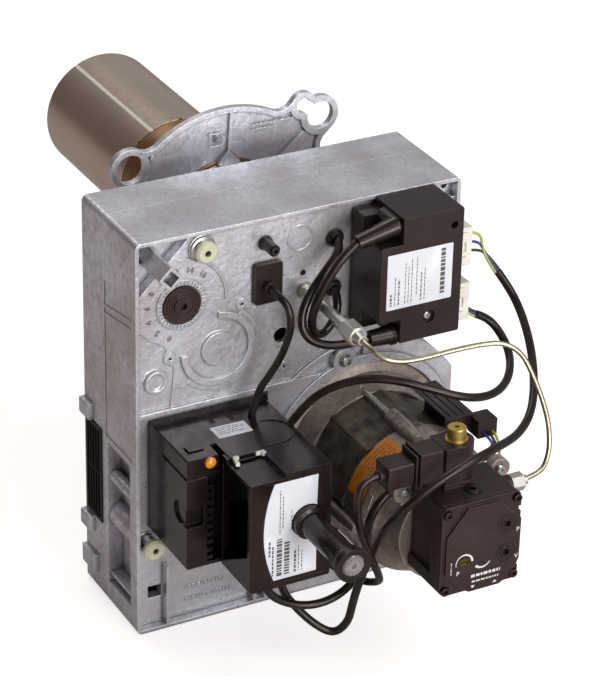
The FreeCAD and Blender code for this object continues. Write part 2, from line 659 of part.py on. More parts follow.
def round_rings(ring):
    edges = [e for e in ring.Edges if isinstance(e.Curve, Part.Circle) and e.CenterOfMass.y < STACK_Y0 - 1]
    return ring.makeFillet(4, edges)


def motor_front_shield():
    y = STACK_Y0
    y0 = SHIELD_Y0
    rim_y = y - SHIELD_RIM_L
    neck_y = y - SHIELD_SHOULDER_L
    out = [(SHIELD_R, y), (SHIELD_R, rim_y), (SHIELD_R - SHIELD_SHOULDER, neck_y),
           (SHIELD_NOSE_R + 2, neck_y - 9), (SHIELD_NOSE_R, y0), (COUPLING_R + 5, y0),
           (COUPLING_R + 5, y0 + SHIELD_T), (SHIELD_NOSE_R - 2 * SHIELD_T, y0 + SHIELD_T),
           (SHIELD_NOSE_R - SHIELD_T - 2, neck_y - 5),
           (SHIELD_R - SHIELD_SHOULDER - SHIELD_T - 1, neck_y + 3),
           (SHIELD_R - SHIELD_T, rim_y + 2), (SHIELD_R - SHIELD_T, y)]
    body = turned_y(AXIS_X, AXIS_Z, out)
    # bearing seat on a spider of three arms
    seat_y = y - 24
    seat = ring_y(AXIS_X, AXIS_Z, BEARING_R + 4, BEARING_R, seat_y - BEARING_W - 1, seat_y)
    arms = []
    for i in range(3):
        arm = box(BEARING_R + 2, SHIELD_R - 2, seat_y - BEARING_W, seat_y - 1, -6, 6)
        arm.rotate(V(0, 0, 0), V(0, 1, 0), -(40 + 120 * i))
        arm.translate(V(AXIS_X, 0, AXIS_Z))
        arms.append(arm)
    # bosses over the tie bolts, tapering towards the pump
    bosses = []
    for x, z in bolt_places():
        bosses.append(rod_y(x, z, BOLT_BOSS_R, y - 4, y + 18))
        bosses.append(Part.makeCone(BOLT_BOSS_R, BOLT_BOSS_R - 2.5, 20, V(x, y - 4, z), V(0, -1, 0)))
    # clamp lugs for the pump
    lugs = []
    for a in CLAMP_ANGLES:
        x, z = polar(CLAMP_R, a)
        lug = rod_y(x, z, CLAMP_LUG_R, y0, y0 + CLAMP_T)
        web = box(0, CLAMP_R - 5, y0, y0 + CLAMP_T, -CLAMP_LUG_R, CLAMP_LUG_R)
        web.rotate(V(0, 0, 0), V(0, 1, 0), -a)
        web.translate(V(AXIS_X, 0, AXIS_Z))
        lugs += [lug, web.cut(rod_y(AXIS_X, AXIS_Z, SHIELD_NOSE_R - 3, y0 - 1, y0 + 20))]
    body = join(body, seat, *arms, *bosses, *lugs)
    holes = [rod_y(x, z, BOLT_R + 0.1, y - 2, y + 30) for x, z in bolt_places()]
    holes += [rod_y(*polar(CLAMP_R, a), 2.5, y0 - 1, y0 + CLAMP_T + 1) for a in CLAMP_ANGLES]
    stack = octagon(STACK_FLAT_R + 0.2, STACK_Y0, STACK_Y1 + 1)
    return body.cut(stack).cut(holes)


def motor_tie_bolts():
    y0, y1 = STACK_Y0 - 2, STACK_Y1 + 12
    bolts = []
    for x, z in bolt_places():
        bolts.append(rod_y(x, z, BOLT_R, y0 + 0.1, y1 - 0.2))
    return group(*bolts)


def motor_shaft():
    tail = SHIELD_Y0 + 20
    fan_end = FAN_Y + FAN_W - 6
    front_seat = STACK_Y0 - 24
    profile = [(0, tail), (JOURNAL_R, tail), (JOURNAL_R, front_seat + 1), (SHAFT_R, front_seat + 1),
               (SHAFT_R, SEAT_Y - 2 - BEARING_W), (JOURNAL_R, SEAT_Y - 2 - BEARING_W),
               (JOURNAL_R, fan_end), (0, fan_end)]
    return turned_y(AXIS_X, AXIS_Z, profile)


def rotor_core():
    r = STACK_BORE_R - ROTOR_GAP
    core = ring_y(AXIS_X, AXIS_Z, r, SHAFT_R, STACK_Y0, STACK_Y1)
    ends = ring_y(AXIS_X, AXIS_Z, r - 2, r - 9, STACK_Y0 - 4, STACK_Y1 + 2)
    fins = []
    for i in range(8):
        fin = box(r - 9, r - 2, STACK_Y0 - 9, STACK_Y0, -1.2, 1.2)
        fin.rotate(V(0, 0, 0), V(0, 1, 0), 45.0 * i)
        fin.translate(V(AXIS_X, 0, AXIS_Z))
        fins.append(fin)
    return join(core, ends, *fins)


def motor_bearings():
    r_in = JOURNAL_R + RUNNING
    front_seat = STACK_Y0 - 24
    rear = ring_y(AXIS_X, AXIS_Z, BEARING_R, r_in, SEAT_Y - 1 - BEARING_W, SEAT_Y - 1)
    front = ring_y(AXIS_X, AXIS_Z, BEARING_R, r_in, front_seat - BEARING_W, front_seat)
    return group(rear, front)


def fan_wheel():
    """Squirrel-cage wheel: a dished back plate on a hub, curved blades and a rim."""
    y0, y1 = FAN_Y, FAN_Y + FAN_W
    plate = ring_y(AXIS_X, AXIS_Z, FAN_R, JOURNAL_R, y0, y0 + FAN_PLATE_T)
    hub = ring_y(AXIS_X, AXIS_Z, 14, JOURNAL_R, y0, y1 - 14)
    rim = ring_y(AXIS_X, AXIS_Z, FAN_R, FAN_R - 3, y1 - FAN_PLATE_T, y1)
    inner, outer, arc_r, t = FAN_R - 15.0, FAN_R - 0.6, 14.0, 1.2
    blades = []
    p0 = V(inner, y0, 0)
    p1 = V(outer * math.cos(0.12), y0, outer * math.sin(0.12))
    mid = (p0 + p1) * 0.5 + V(0.3, 0, -1).normalize() * 2.6
    p0b, p1b, midb = (p + V(0, 0, t) for p in (p0, p1, mid))
    wire = Part.Wire([Part.Arc(p0, mid, p1).toShape(), Part.makeLine(p1, p1b),
                      Part.Arc(p1b, midb, p0b).toShape(), Part.makeLine(p0b, p0)])
    blade = Part.Face(wire).extrude(V(0, y1 - y0, 0))
    for i in range(FAN_BLADES):
        one = blade.copy()
        one.rotate(V(0, 0, 0), V(0, 1, 0), 360.0 / FAN_BLADES * i)
        one.translate(V(AXIS_X, 0, AXIS_Z))
        blades.append(one)
    return join(plate, hub, rim, *blades)


def fan_inlet_ring():
    """Bell-mouth plate on the volute wall that leads air into the wheel."""
    y0 = FAN_Y + FAN_W + 6
    wall_r = FAN_R + FAN_GAP + 3
    plate = ring_y(AXIS_X, AXIS_Z, wall_r + WALL, INLET_R, y0, y0 + 1.5)
    plate = plate.common(outline(y0 - 1, y0 + 3, WALL + 0.5))
    bell = turned_y(AXIS_X, AXIS_Z, [(INLET_R, y0 - 3), (INLET_R + 1.2, y0 - 3), (INLET_R + 3, y0),
                                     (INLET_R + 3, y0 + 1.5), (INLET_R, y0 + 1.5)])
    return join(plate, bell)


def drive_coupling():
    y1 = SHIELD_Y0 + 20 + 10
    y0 = y1 - COUPLING_L
    body = rod_y(AXIS_X, AXIS_Z, COUPLING_R, y0, y1)
    body = body.cut(rod_y(AXIS_X, AXIS_Z, JOURNAL_R, SHIELD_Y0 + 20, y1 + 1))
    body = body.cut(rod_y(AXIS_X, AXIS_Z, PUMP_SHAFT_R, y0 - 1, SHIELD_Y0 + 14))
    flutes = []
    for i in range(6):
        x, z = polar(COUPLING_R + 1, 60 * i)
        flutes.append(rod_y(x, z, 2.5, y0 + 6, y1 - 6))
    return body.cut(flutes)


def pump_shaft():
    y1 = SHIELD_Y0 + 14
    return rod_y(AXIS_X, AXIS_Z, PUMP_SHAFT_R, PUMP_Y0 + 12, y1)


def capacitor_box():
    x0, x1, y0, y1, z0, z1 = CAP_BOX
    body = round_along(box(x0, x1, y0, y1, z0, z1), V(0, 1, 0), 3)
    body = body.cut(rod_y(AXIS_X, AXIS_Z, BOLT_CIRCLE_R + BOLT_BOSS_R + 0.5, y0 - 1, y1 + 1))
    w, d, h = MOTOR_SOCKET
    socket = box(x1 - 5, x1 - 5 + w, y0 - d + 4, y0 + 4, z1 - h - 1, z1 - 1)
    foot = box(x0 + 8, x1 - 4, y0 + 14, y1 - 14, z0, z1 - 4)
    foot = foot.cut(octagon(STACK_FLAT_R + 0.05, y0, y1))
    body = join(body, socket, foot)
    ribs = [box(x0 + 6 + 6 * i, x0 + 7.2 + 6 * i, y0 + 4, y1 - 4, z1 - 0.8, z1 + 1) for i in range(3)]
    return body.cut(ribs)


def mounting_screws():
    """Pan-head screws of the motor's ears and of the pump's clamp."""
    screws = []
    for a in EAR_ANGLES:
        x, z = polar(EAR_CIRCLE_R, a)
        y = COLLAR_Y - 1
        screws.append(join(pan_head(x, z, MOTOR_SCREW_R, y), rod_y(x, z, 2.5, y, y + 14)))
    for a in CLAMP_ANGLES:
        x, z = polar(CLAMP_R, a)
        screws.append(join(pan_head(x, z, 4.2, SHIELD_Y0), rod_y(x, z, 2.4, SHIELD_Y0, SHIELD_Y0 + CLAMP_T)))
    x, z = IGN_X0 + IGN_W * 0.47, IGN_Z0 + 18
    screws.append(join(pan_head(x, z, 3.4, -IGN_D + 3.5), rod_y(x, z, 1.9, -IGN_D + 3.5, FIELD_Y)))
    return group(*screws)


def pan_head(x, z, r, y):
    head = turned_y(x, z, [(0, y), (r, y), (r, y - r * 0.35), (r * 0.75, y - r * 0.6), (0, y - r * 0.7)])
    cross = box(x - r * 0.5, x + r * 0.5, y - r, y - r * 0.35, z - r * 0.1, z + r * 0.1)
    upright = box(x - r * 0.1, x + r * 0.1, y - r, y - r * 0.35, z - r * 0.5, z + r * 0.5)
    return head.cut([cross, upright])


def pump_outline(inset, y0, y1):
    block = box(PUMP_X0 + inset, PUMP_X1 - inset, y0, y1, PUMP_Z0 + inset, PUMP_Z1 - inset)
    return round_along(block, V(0, 1, 0), PUMP_CORNER)


def pump_screw_places():
    return [(x, z) for x in (PUMP_X0 + COVER_SCREW_IN_X, PUMP_X1 - COVER_SCREW_IN_X)
            for z in (PUMP_Z0 + COVER_SCREW_UP, PUMP_Z1 - COVER_SCREW_DOWN)]


def pump_body():
    body = pump_outline(0, PUMP_Y0, PUMP_Y1)
    # waist in the sides and the raised seat under the valve
    body = body.cut([box(PUMP_X0 - 1, PUMP_X0 + 2.5, PUMP_Y0 + 10, PUMP_Y1 + 1, PUMP_Z0 + 14, PUMP_Z1 - 20),
                     box(PUMP_X1 - 2.5, PUMP_X1 + 1, PUMP_Y0 + 10, PUMP_Y1 + 1, PUMP_Z0 + 14, PUMP_Z1 - 24)])
    seat = box(VALVE_X - 16, VALVE_X + 9, VALVE_Y - 13, PUMP_Y1, PUMP_Z1 - 4, COIL_Z0 - 0.5)
    outlet_y, outlet_z = outlet_place()
    boss = rod_x(outlet_y, outlet_z, 7.5, PUMP_X1 - 6, PUMP_X1 + 2)
    body = join(body, seat, boss)
    top_plug = rod_z(VALVE_X + 4, PUMP_Y0 + 12, 7, PUMP_Z1 - 6, PUMP_Z1 + 1)
    cuts = [top_plug, rod_y(AXIS_X, AXIS_Z, PUMP_SHAFT_R + RUNNING, PUMP_Y0 + 10, PUMP_Y1 + 1),
            rod_y(AXIS_X, AXIS_Z, COUPLING_R + 3, PUMP_Y1 - 6, PUMP_Y1 + 1),
            rod_z(VALVE_X, VALVE_Y, VALVE_STEM_R + 1.5, PUMP_Z1 - 14, COIL_Z0 + 1),
            rod_x(outlet_y, outlet_z, 3, PUMP_X1 - 8, PUMP_X1 + 3)]
    for side in (0, 1):
        x = suction_x(side)
        cuts.append(rod_z(x, suction_y(), SUCTION_R, PUMP_Z0 - 1, PUMP_Z0 + SUCTION_L))
    for x, z in pump_screw_places():
        cuts.append(rod_y(x, z, 2.1, PUMP_Y0 - 1, PUMP_Y0 + 14))
    return body.cut(cuts)


def suction_x(side):
    return PUMP_X0 + PUMP_W / 2 + (side - 0.5) * SUCTION_DX


def suction_y():
    return PUMP_Y0 + PUMP_D / 2


def outlet_place():
    return PUMP_Y0 + 17.0, PUMP_Z1 - 7.5


def pump_cover():
    """Cover plate with corner ears and a raised field around the ports."""
    y1 = PUMP_Y0
    plate = pump_outline(0, COVER_Y0, y1)
    cx, cz = PUMP_X0 + PUMP_W / 2, PUMP_Z0 + PUMP_H / 2
    raised = [(-0.19, 0.46), (0.20, 0.45), (0.33, 0.33), (0.49, 0.20), (0.49, -0.25), (0.46, -0.32),
              (0.34, -0.45), (0.25, -0.5), (-0.14, -0.5), (-0.24, -0.45), (-0.45, -0.24), (-0.45, 0.18)]
    field = prism_y([(cx + u * PUMP_W, cz + w * PUMP_H) for u, w in raised], COVER_Y0 - RAISED_T, COVER_Y0)
    nicks = [box(PUMP_X1 - 2, PUMP_X1 + 1, COVER_Y0 - 1, y1 + 1, cz - 0.36 * PUMP_H, cz - 0.3 * PUMP_H),
             box(PUMP_X1 - 2, PUMP_X1 + 1, COVER_Y0 - 1, y1 + 1, cz + 0.26 * PUMP_H, cz + 0.32 * PUMP_H)]
    body = join(plate.cut(nicks), field)
    cuts = [rod_y(x, z, PORT_R, COVER_Y0 - RAISED_T - 1, y1 - 1) for x, z in port_places()]
    cuts.append(rod_y(*adjuster_place(), 3.5 + RUNNING, COVER_Y0 - RAISED_T - 1, y1 - 1))
    for x, z in pump_screw_places():
        cuts.append(rod_y(x, z, 2.3, COVER_Y0 - 5, y1 + 1))
        cuts.append(rod_y(x, z, COVER_SCREW_R + 0.8, COVER_Y0 - 5, COVER_Y0 + 1))
    return body.cut(cuts)


def port_places():
    cx, cz = PUMP_X0 + PUMP_W / 2, PUMP_Z0 + PUMP_H / 2
    return [(cx + 0.31 * PUMP_W, cz + 0.175 * PUMP_H), (cx + 0.31 * PUMP_W, cz - 0.15 * PUMP_H)]


def adjuster_place():
    return PUMP_X0 + 0.28 * PUMP_W, PUMP_Z0 + 0.35 * PUMP_H


def socket_head(x, z, r, y, depth=2.2):
    head = rod_y(x, z, r, y - r, y)
    head = head.makeFillet(0.5, [e for e in head.Edges if abs(e.CenterOfMass.y - (y - r)) < 1e-3
                                 and isinstance(e.Curve, Part.Circle)])
    return head.cut(hexagon_y(x, z, r, y - r - 1, y - r + depth))


def pump_cover_screws():
    screws = []
    for x, z in pump_screw_places():
        y = COVER_Y0 + 1
        screws.append(join(socket_head(x, z, COVER_SCREW_R, y), rod_y(x, z, 2, y, y + 14)))
    return group(*screws)


def pump_port_plugs():
    """Two gauge-port plugs in the cover and the ring plug on top, with hexagon sockets."""
    y = COVER_Y0 - RAISED_T
    plugs = []
    for x, z in port_places():
        plug = rod_y(x, z, PORT_R, y - 0.6, PUMP_Y0 - 1)
        plugs.append(plug.cut(hexagon_y(x, z, PORT_R * 0.9, y - 2, y + 2.5)))
    top = rod_z(VALVE_X + 4, PUMP_Y0 + 12, 7, PUMP_Z1 - 6, PUMP_Z1 + 0.8)
    top = top.cut(rod_z(VALVE_X + 4, PUMP_Y0 + 12, 2.5, PUMP_Z1 - 2, PUMP_Z1 + 2))
    return group(top, *plugs)


def pressure_screw():
    x, z = adjuster_place()
    y = COVER_Y0 - RAISED_T
    screw = rod_y(x, z, 3.5, y + 0.4, PUMP_Y0 - 1 - 0.1)
    return screw.cut(box(x - 4, x + 4, y, y + 1.8, z - 0.5, z + 0.5))


def valve_stem():
    stem = rod_z(VALVE_X, VALVE_Y, VALVE_STEM_R + 1.5, PUMP_Z1 - 14, COIL_Z0 - 0.5)
    tube = rod_z(VALVE_X, VALVE_Y, VALVE_STEM_R, COIL_Z0 - 0.5, COIL_Z1 + 7)
    body = join(stem, tube)
    return body.cut([rod_z(VALVE_X, VALVE_Y, VALVE_STEM_R - 1 + RUNNING, PUMP_Z1 - 8, COIL_Z1 - 6),
                     rod_z(VALVE_X, VALVE_Y, 0.8, PUMP_Z1 - 15, PUMP_Z1 - 7)])


def valve_armature():
    z0 = PUMP_Z1 - 8 + 0.2
    body = rod_z(VALVE_X, VALVE_Y, VALVE_STEM_R - 1, z0 + 2, COIL_Z1 - 6 - 2.2)
    tip = Part.makeCone(1, VALVE_STEM_R - 1, 2, V(VALVE_X, VALVE_Y, z0), V(0, 0, 1))
    return join(body, tip)


def solenoid_coil():
    """Moulded coil: a barrel round the stem and a block with the contact pins."""
    barrel = rod_z(VALVE_X, VALVE_Y, COIL_R, COIL_Z0, COIL_Z1)
    block = box(COIL_NECK_X + 20, VALVE_X, VALVE_Y - COIL_R + 0.6, VALVE_Y + COIL_R - 0.6, COIL_Z0, COIL_Z1)
    neck = box(COIL_NECK_X, COIL_NECK_X + 19, VALVE_Y - COIL_SIDE / 2, VALVE_Y + COIL_SIDE / 2,
               COIL_Z0 + 3, COIL_Z1)
    waist = box(COIL_NECK_X + 17, COIL_NECK_X + 22, VALVE_Y - COIL_SIDE / 2 + 1.5,
                VALVE_Y + COIL_SIDE / 2 - 1.5, COIL_Z0 + 4, COIL_Z1 - 1)
    body = join(barrel, round_along(block, V(0, 0, 1), 1.2), round_along(neck, V(1, 0, 0), 1.5), waist)
    return body.cut(rod_z(VALVE_X, VALVE_Y, VALVE_STEM_R + 0.05, COIL_Z0 - 1, COIL_Z1 + 1))


def coil_nut():
    nut = rod_z(VALVE_X, VALVE_Y, NUT_R, COIL_Z1 + 1.2, COIL_Z1 + NUT_H)
    nut = nut.makeChamfer(0.8, [e for e in nut.Edges if e.CenterOfMass.z > COIL_Z1 + NUT_H - 0.01
                                and isinstance(e.Curve, Part.Circle)])
    washer = rod_z(VALVE_X, VALVE_Y, NUT_R + 1.5, COIL_Z1, COIL_Z1 + 1.2)
    bore = rod_z(VALVE_X, VALVE_Y, VALVE_STEM_R, COIL_Z1 - 1, COIL_Z1 + 7)
    hole = rod_z(VALVE_X, VALVE_Y, 2, COIL_Z1, COIL_Z1 + NUT_H + 1)
    return join(nut, washer).cut([bore, hole])


def valve_plug():
    """Coil connector: two gaskets and a stepped body with a cable gland."""
    x1 = COIL_NECK_X
    frames = [box(x1 - 1.6 - i * 3.2, x1 - i * 3.2, VALVE_Y - COIL_SIDE / 2 - 1.5 + i,
                  VALVE_Y + COIL_SIDE / 2 + 1.5 - i, COIL_Z0 + 2 + i, COIL_Z1 + 1 - i) for i in (0, 1)]
    x0 = x1 - 6.4
    z0 = COIL_Z0 + 5
    core = box(x0 - 1, x1, VALVE_Y - 8, VALVE_Y + 8, z0 + 2, z0 + PLUG_H - 2)
    half = COIL_SIDE / 2 - 0.5
    body = box(x0 - PLUG_L, x0, VALVE_Y - half, VALVE_Y + half, z0, z0 + PLUG_H)
    body = round_along(body, V(1, 0, 0), 2)
    grooves = [box(x0 - 4 - 3 * i, x0 - 3 - 3 * i, VALVE_Y - COIL_SIDE, VALVE_Y - COIL_SIDE / 2 + 1.2,
                   z0 + 2, z0 + PLUG_H - 3) for i in range(3)]
    gland = rod_x(VALVE_Y, z0 + 10, 5.2, x0 - PLUG_L - 4, x0 - PLUG_L)
    return join(body.cut(grooves), core, gland, *frames)


def union_nuts():
    """Hexagon union on the nozzle pipe and the nut of the pump's outlet."""
    x, z = NOZZLE_PIPE_X, NOZZLE_PIPE_Z
    y1 = UNION_Y
    collar = turned_y(x, z, [(NOZZLE_PIPE_R, y1 + 2), (NOZZLE_PIPE_R + 1.5, y1 + 2), (6.5, y1 - 6),
                             (6.5, y1 - 9), (NOZZLE_PIPE_R, y1 - 9)])
    hexa = hexagon_y(x, z, UNION_AF, y1 - 25, y1 - 8.9)
    hexa = hexa.common(turned_y(x, z, [(0, y1 - 25), (7, y1 - 25), (9.2, y1 - 23),
                                       (9.2, y1 - 8.9), (0, y1 - 8.9)]))
    nose = Part.makeCone(6, 4, 7, V(x, y1 - 25, z), V(0, -1, 0))
    nut = join(hexa, nose)
    nut = nut.cut([rod_y(x, z, NOZZLE_PIPE_R, y1 - 16, y1), rod_y(x, z, PIPE_D / 2, y1 - 40, y1 - 15)])
    nut = join(nut, collar)
    oy, oz = outlet_place()
    x0 = PUMP_X1 + 2
    outlet = hexagon_y(0, 0, 13, 0, 11)
    outlet.rotate(V(0, 0, 0), V(0, 0, 1), -90)
    outlet.translate(V(x0, oy, oz))
    neck = rod_x(oy, oz, 3.8, x0 + 10, x0 + 15)
    stub = rod_x(oy, oz, 3, PUMP_X1 - 6, x0 + 1)
    pump_nut = join(outlet, neck, stub)
    pump_nut = pump_nut.cut(rod_x(oy, oz, PIPE_D / 2, PUMP_X1 - 7, x0 + 20))
    return group(nut, pump_nut)


def nozzle_pipe():
    x, z = NOZZLE_PIPE_X, NOZZLE_PIPE_Z
    pipe = ring_y(x, z, NOZZLE_PIPE_R, 2.2, UNION_Y - 12, HEATER_Y0 + 10)
    collar = ring_y(x, z, NOZZLE_PIPE_R + 2.2, NOZZLE_PIPE_R - 0.5, CAVITY_Y0, CAVITY_Y0 + 6)
    collar2 = ring_y(x, z, NOZZLE_PIPE_R + 1.6, NOZZLE_PIPE_R - 0.5, FIELD_Y - 3.5, FIELD_Y)
    return join(pipe, collar, collar2)


def oil_preheater():
    x, z = TUBE_X, TUBE_Z
    y1 = HEATER_Y0 + HEATER_L
    body = turned_y(x, z, [(0, HEATER_Y0), (HEATER_R - 2, HEATER_Y0), (HEATER_R, HEATER_Y0 + 2),
                           (HEATER_R, y1 - 14), (HEATER_R - 4, y1 - 10), (HEATER_R - 4, y1), (0, y1)])
    clamp = box(x - ELECTRODE_DX - 7, x + ELECTRODE_DX + 7, y1 - 46, y1 - 34, z, z + ELECTRODE_UP + 5)
    clamp = round_along(clamp, V(0, 1, 0), 3)
    body = join(body, clamp)
    cuts = [rod_y(NOZZLE_PIPE_X, NOZZLE_PIPE_Z, NOZZLE_PIPE_R, HEATER_Y0 - 1, HEATER_Y0 + 10)]
    cuts += [rod_y(px, pz, ELECTRODE_R, 0, 400) for px, pz in electrode_places()]
    return body.cut(cuts)


def electrode_places():
    return [(TUBE_X + s * ELECTRODE_DX, TUBE_Z + ELECTRODE_UP) for s in (-1, 1)]


def spray_nozzle():
    x, z = TUBE_X, TUBE_Z
    y = HEATER_Y0 + HEATER_L
    hexa = hexagon_y(x, z, NOZZLE_AF, y, y + NOZZLE_L * 0.6)
    nose = Part.makeCone(6.5, 2.5, NOZZLE_L * 0.4, V(x, y + NOZZLE_L * 0.6, z), V(0, 1, 0))
    bore = Part.makeCone(0.8, 2.0, 3, V(x, y + NOZZLE_L - 3, z), V(0, 1, 0))
    return join(hexa, nose).cut(bore)


def baffle_plate():
    """Flame-holding plate with swirl slots, on three legs clamped to the preheater."""
    x, z = TUBE_X, TUBE_Z
    y = BAFFLE_Y
    plate = turned_y(x, z, [(11, y), (BAFFLE_R - 4, y - 3), (BAFFLE_R, y - 8), (BAFFLE_R, y - 6.6),
                            (BAFFLE_R - 3.6, y - 1.6), (11, y + 1.4)])
    slots = []
    for i in range(BAFFLE_SLOTS):
        slot = box(17, BAFFLE_R - 8, y - 10, y + 5, -1.4, 1.4)
        slot.rotate(V(25, 0, 0), V(0, 1, 0), 20)
        slot.rotate(V(0, 0, 0), V(0, 1, 0), 360.0 / BAFFLE_SLOTS * i)
        slot.translate(V(x, 0, z))
        slots.append(slot)
    y1 = HEATER_Y0 + HEATER_L - 15
    legs = [ring_y(x, z, HEATER_R + 2, HEATER_R, y1 - 12, y1)]
    for i in range(3):
        leg = box(HEATER_R + 0.5, HEATER_R + 2, y1 - 12, y + 0.2, -4, 4)
        leg.rotate(V(0, 0, 0), V(0, 1, 0), 120 * i + 90)
        leg.translate(V(x, 0, z))
        legs.append(leg)
    return join(plate.cut(slots), *legs)


def ignition_electrodes():
    """Two ceramic rods in the clamp block, each with its bent spark wire."""
    y1 = HEATER_Y0 + HEATER_L
    pieces = []
    for side, (px, pz) in zip((-1, 1), electrode_places()):
        rod = rod_y(px, pz, ELECTRODE_R, y1 - ELECTRODE_BACK, y1 + ELECTRODE_AHEAD)
        shoulder = rod_y(px, pz, ELECTRODE_R + 0.8, y1 - 33.9, y1 - 26)
        bore = rod_y(px, pz, WIRE_R, y1 - ELECTRODE_BACK - 1, y1 + ELECTRODE_AHEAD + 1)
        pieces.append(join(rod, shoulder).cut(bore))
        a = V(px, y1 - ELECTRODE_BACK - 8, pz)
        b = V(px, y1 + ELECTRODE_AHEAD + 7, pz)
        c = V(TUBE_X + side * 2.2, y1 + NOZZLE_L + 3, TUBE_Z + 6.0)
        pieces.append(join(Part.makeSphere(WIRE_R, b), stick(a, b, WIRE_R), stick(b, c, WIRE_R)))
    return group(*pieces)


def stick(a, b, r):
    return Part.makeCylinder(r, (b - a).Length, a, b - a)


def air_dial():
    """Flush setting knob with a hexagon socket, on its spindle."""
    front = FIELD_Y - DIAL_T
    body = rod_y(DIAL_X, DIAL_Z, DIAL_R, front, FIELD_Y - 0.3)
    spindle = rod_y(DIAL_X, DIAL_Z, SPINDLE_R, FIELD_Y - 1, CAVITY_Y0 + 12)
    hub = rod_y(DIAL_X, DIAL_Z, DIAL_R * 0.45, front - 2, front + 1)
    body = join(body, spindle, hub)
    socket = hexagon_y(DIAL_X, DIAL_Z, 6, front - 3, front + 2)
    grooves = [ring_y(DIAL_X, DIAL_Z, DIAL_R * k, DIAL_R * k - 1.2, front - 1, front + 1)
               for k in (0.6, 0.75, 0.9)]
    pointer = prism_y([(DIAL_X - 1.6, DIAL_Z + 5), (DIAL_X + 1.6, DIAL_Z + 5),
                       (DIAL_X, DIAL_Z + POINTER_R)], front - 0.8, front + 1.5)
    pointer.rotate(V(DIAL_X, 0, DIAL_Z), V(0, 1, 0), -30)
    return join(body.cut([socket, *grooves]), pointer)


def air_damper():
    """Slotted disc on the dial's spindle that sets the air."""
    y0 = CAVITY_Y0 + 6
    disc = rod_y(DIAL_X, DIAL_Z, DAMPER_R, y0, y0 + 2)
    hub = rod_y(DIAL_X, DIAL_Z, SPINDLE_R + 4, y0 - 3, y0 + 5)
    cuts = [rod_y(DIAL_X, DIAL_Z, SPINDLE_R, y0 - 4, y0 + 6)]
    for i in range(3):
        port = ring_y(DIAL_X, DIAL_Z, DAMPER_R - 4, SPINDLE_R + 8, y0 - 1, y0 + 3)
        sector = prism_y([(DIAL_X, DIAL_Z), polar(2 * DAMPER_R, 120 * i, DIAL_X, DIAL_Z),
                          polar(2 * DAMPER_R, 120 * i + 60, DIAL_X, DIAL_Z)], y0 - 2, y0 + 4)
        cuts.append(port.common(sector))
    return join(disc, hub).cut(cuts)


def ignition_unit():
    """Moulded transformer block with two stepped corners for the high-voltage boots."""
    x0, x1 = IGN_X0, IGN_X0 + IGN_W
    z1 = IGN_Z0 + IGN_H
    tall = box(x0, x1, -IGN_D, FIELD_Y, IGN_Z0, z1)
    side = box(x0 - IGN_STEP_W, x0 + 1, -IGN_D, FIELD_Y, IGN_STEP_Z0, IGN_STEP_Z0 + IGN_STEP_H)
    deep = box(x0 - IGN_STEP_W, x0 + 1, -IGN_D * 0.35, FIELD_Y, IGN_Z0 + 4, z1 - 6)
    body = join(tall, side, deep)
    body = round_along(body, V(0, 1, 0), 1.5, lambda c: c.x > x0 + 15 or c.x < x0 - 15)
    screw = (x0 + IGN_W * 0.47, IGN_Z0 + 18)
    cuts = [rod_y(*screw, 6, -IGN_D - 1, -IGN_D + 3.5), rod_y(*screw, 2, -IGN_D, FIELD_Y + 1),
            rod_y(x1 - 8, z1 - 14, 3.2, -IGN_D - 1, -IGN_D + 8)]
    w, d, h = CONNECTOR
    for z in connector_places():
        cuts.append(box(x1 - 3, x1 + 1, -IGN_D + 4, -IGN_D + 4 + d, z, z + h))
    # the back edge stays inside the casting's lip
    cuts.append(box(x0 - IGN_STEP_W - 1, x1 + 1, -0.3, FIELD_Y + 1, TOP_Z - LIP - 0.3, z1 + 1))
    cuts.append(upper_boot(0.3))
    return body.cut(cuts)


def connector_places():
    return (IGN_Z0 + 5.0, IGN_Z0 + 53.0)


def supply_connectors():
    """White plug connectors on the ignition unit's right side."""
    w, d, h = CONNECTOR
    x0 = IGN_X0 + IGN_W - 3
    blocks = []
    for z in connector_places():
        body = box(x0, x0 + w + 3, -IGN_D + 4.2, -IGN_D + 3.8 + d, z + 0.3, z + h - 0.3)
        wings = [box(x0 + 3.2, x0 + 8, -IGN_D + 1.5, -IGN_D + 5, z + h - 9, z + h - 3),
                 box(x0 + 3.2, x0 + 8, -IGN_D + 1.5, -IGN_D + 5, z + 3, z + 9)]
        cuts = [box(x0 + 6, x0 + 9, -IGN_D + 3, -IGN_D + 6, z + 12, z + 20)]
        for i in range(3):
            cuts.append(rod_x(-IGN_D + 4 + d / 2, z + 8 + i * 8, 1.6, x0 + w - 2, x0 + w + 4))
        blocks.append(join(body, *wings).cut(cuts))
    return group(*blocks)


def wire_ends(index):
    """Where the three wires leave one white connector."""
    w, d, _ = CONNECTOR
    z = connector_places()[index]
    x = IGN_X0 + IGN_W - 3 + w - 2
    return [V(x, -IGN_D + 4 + d / 2, z + 8 + i * 8) for i in range(3)]


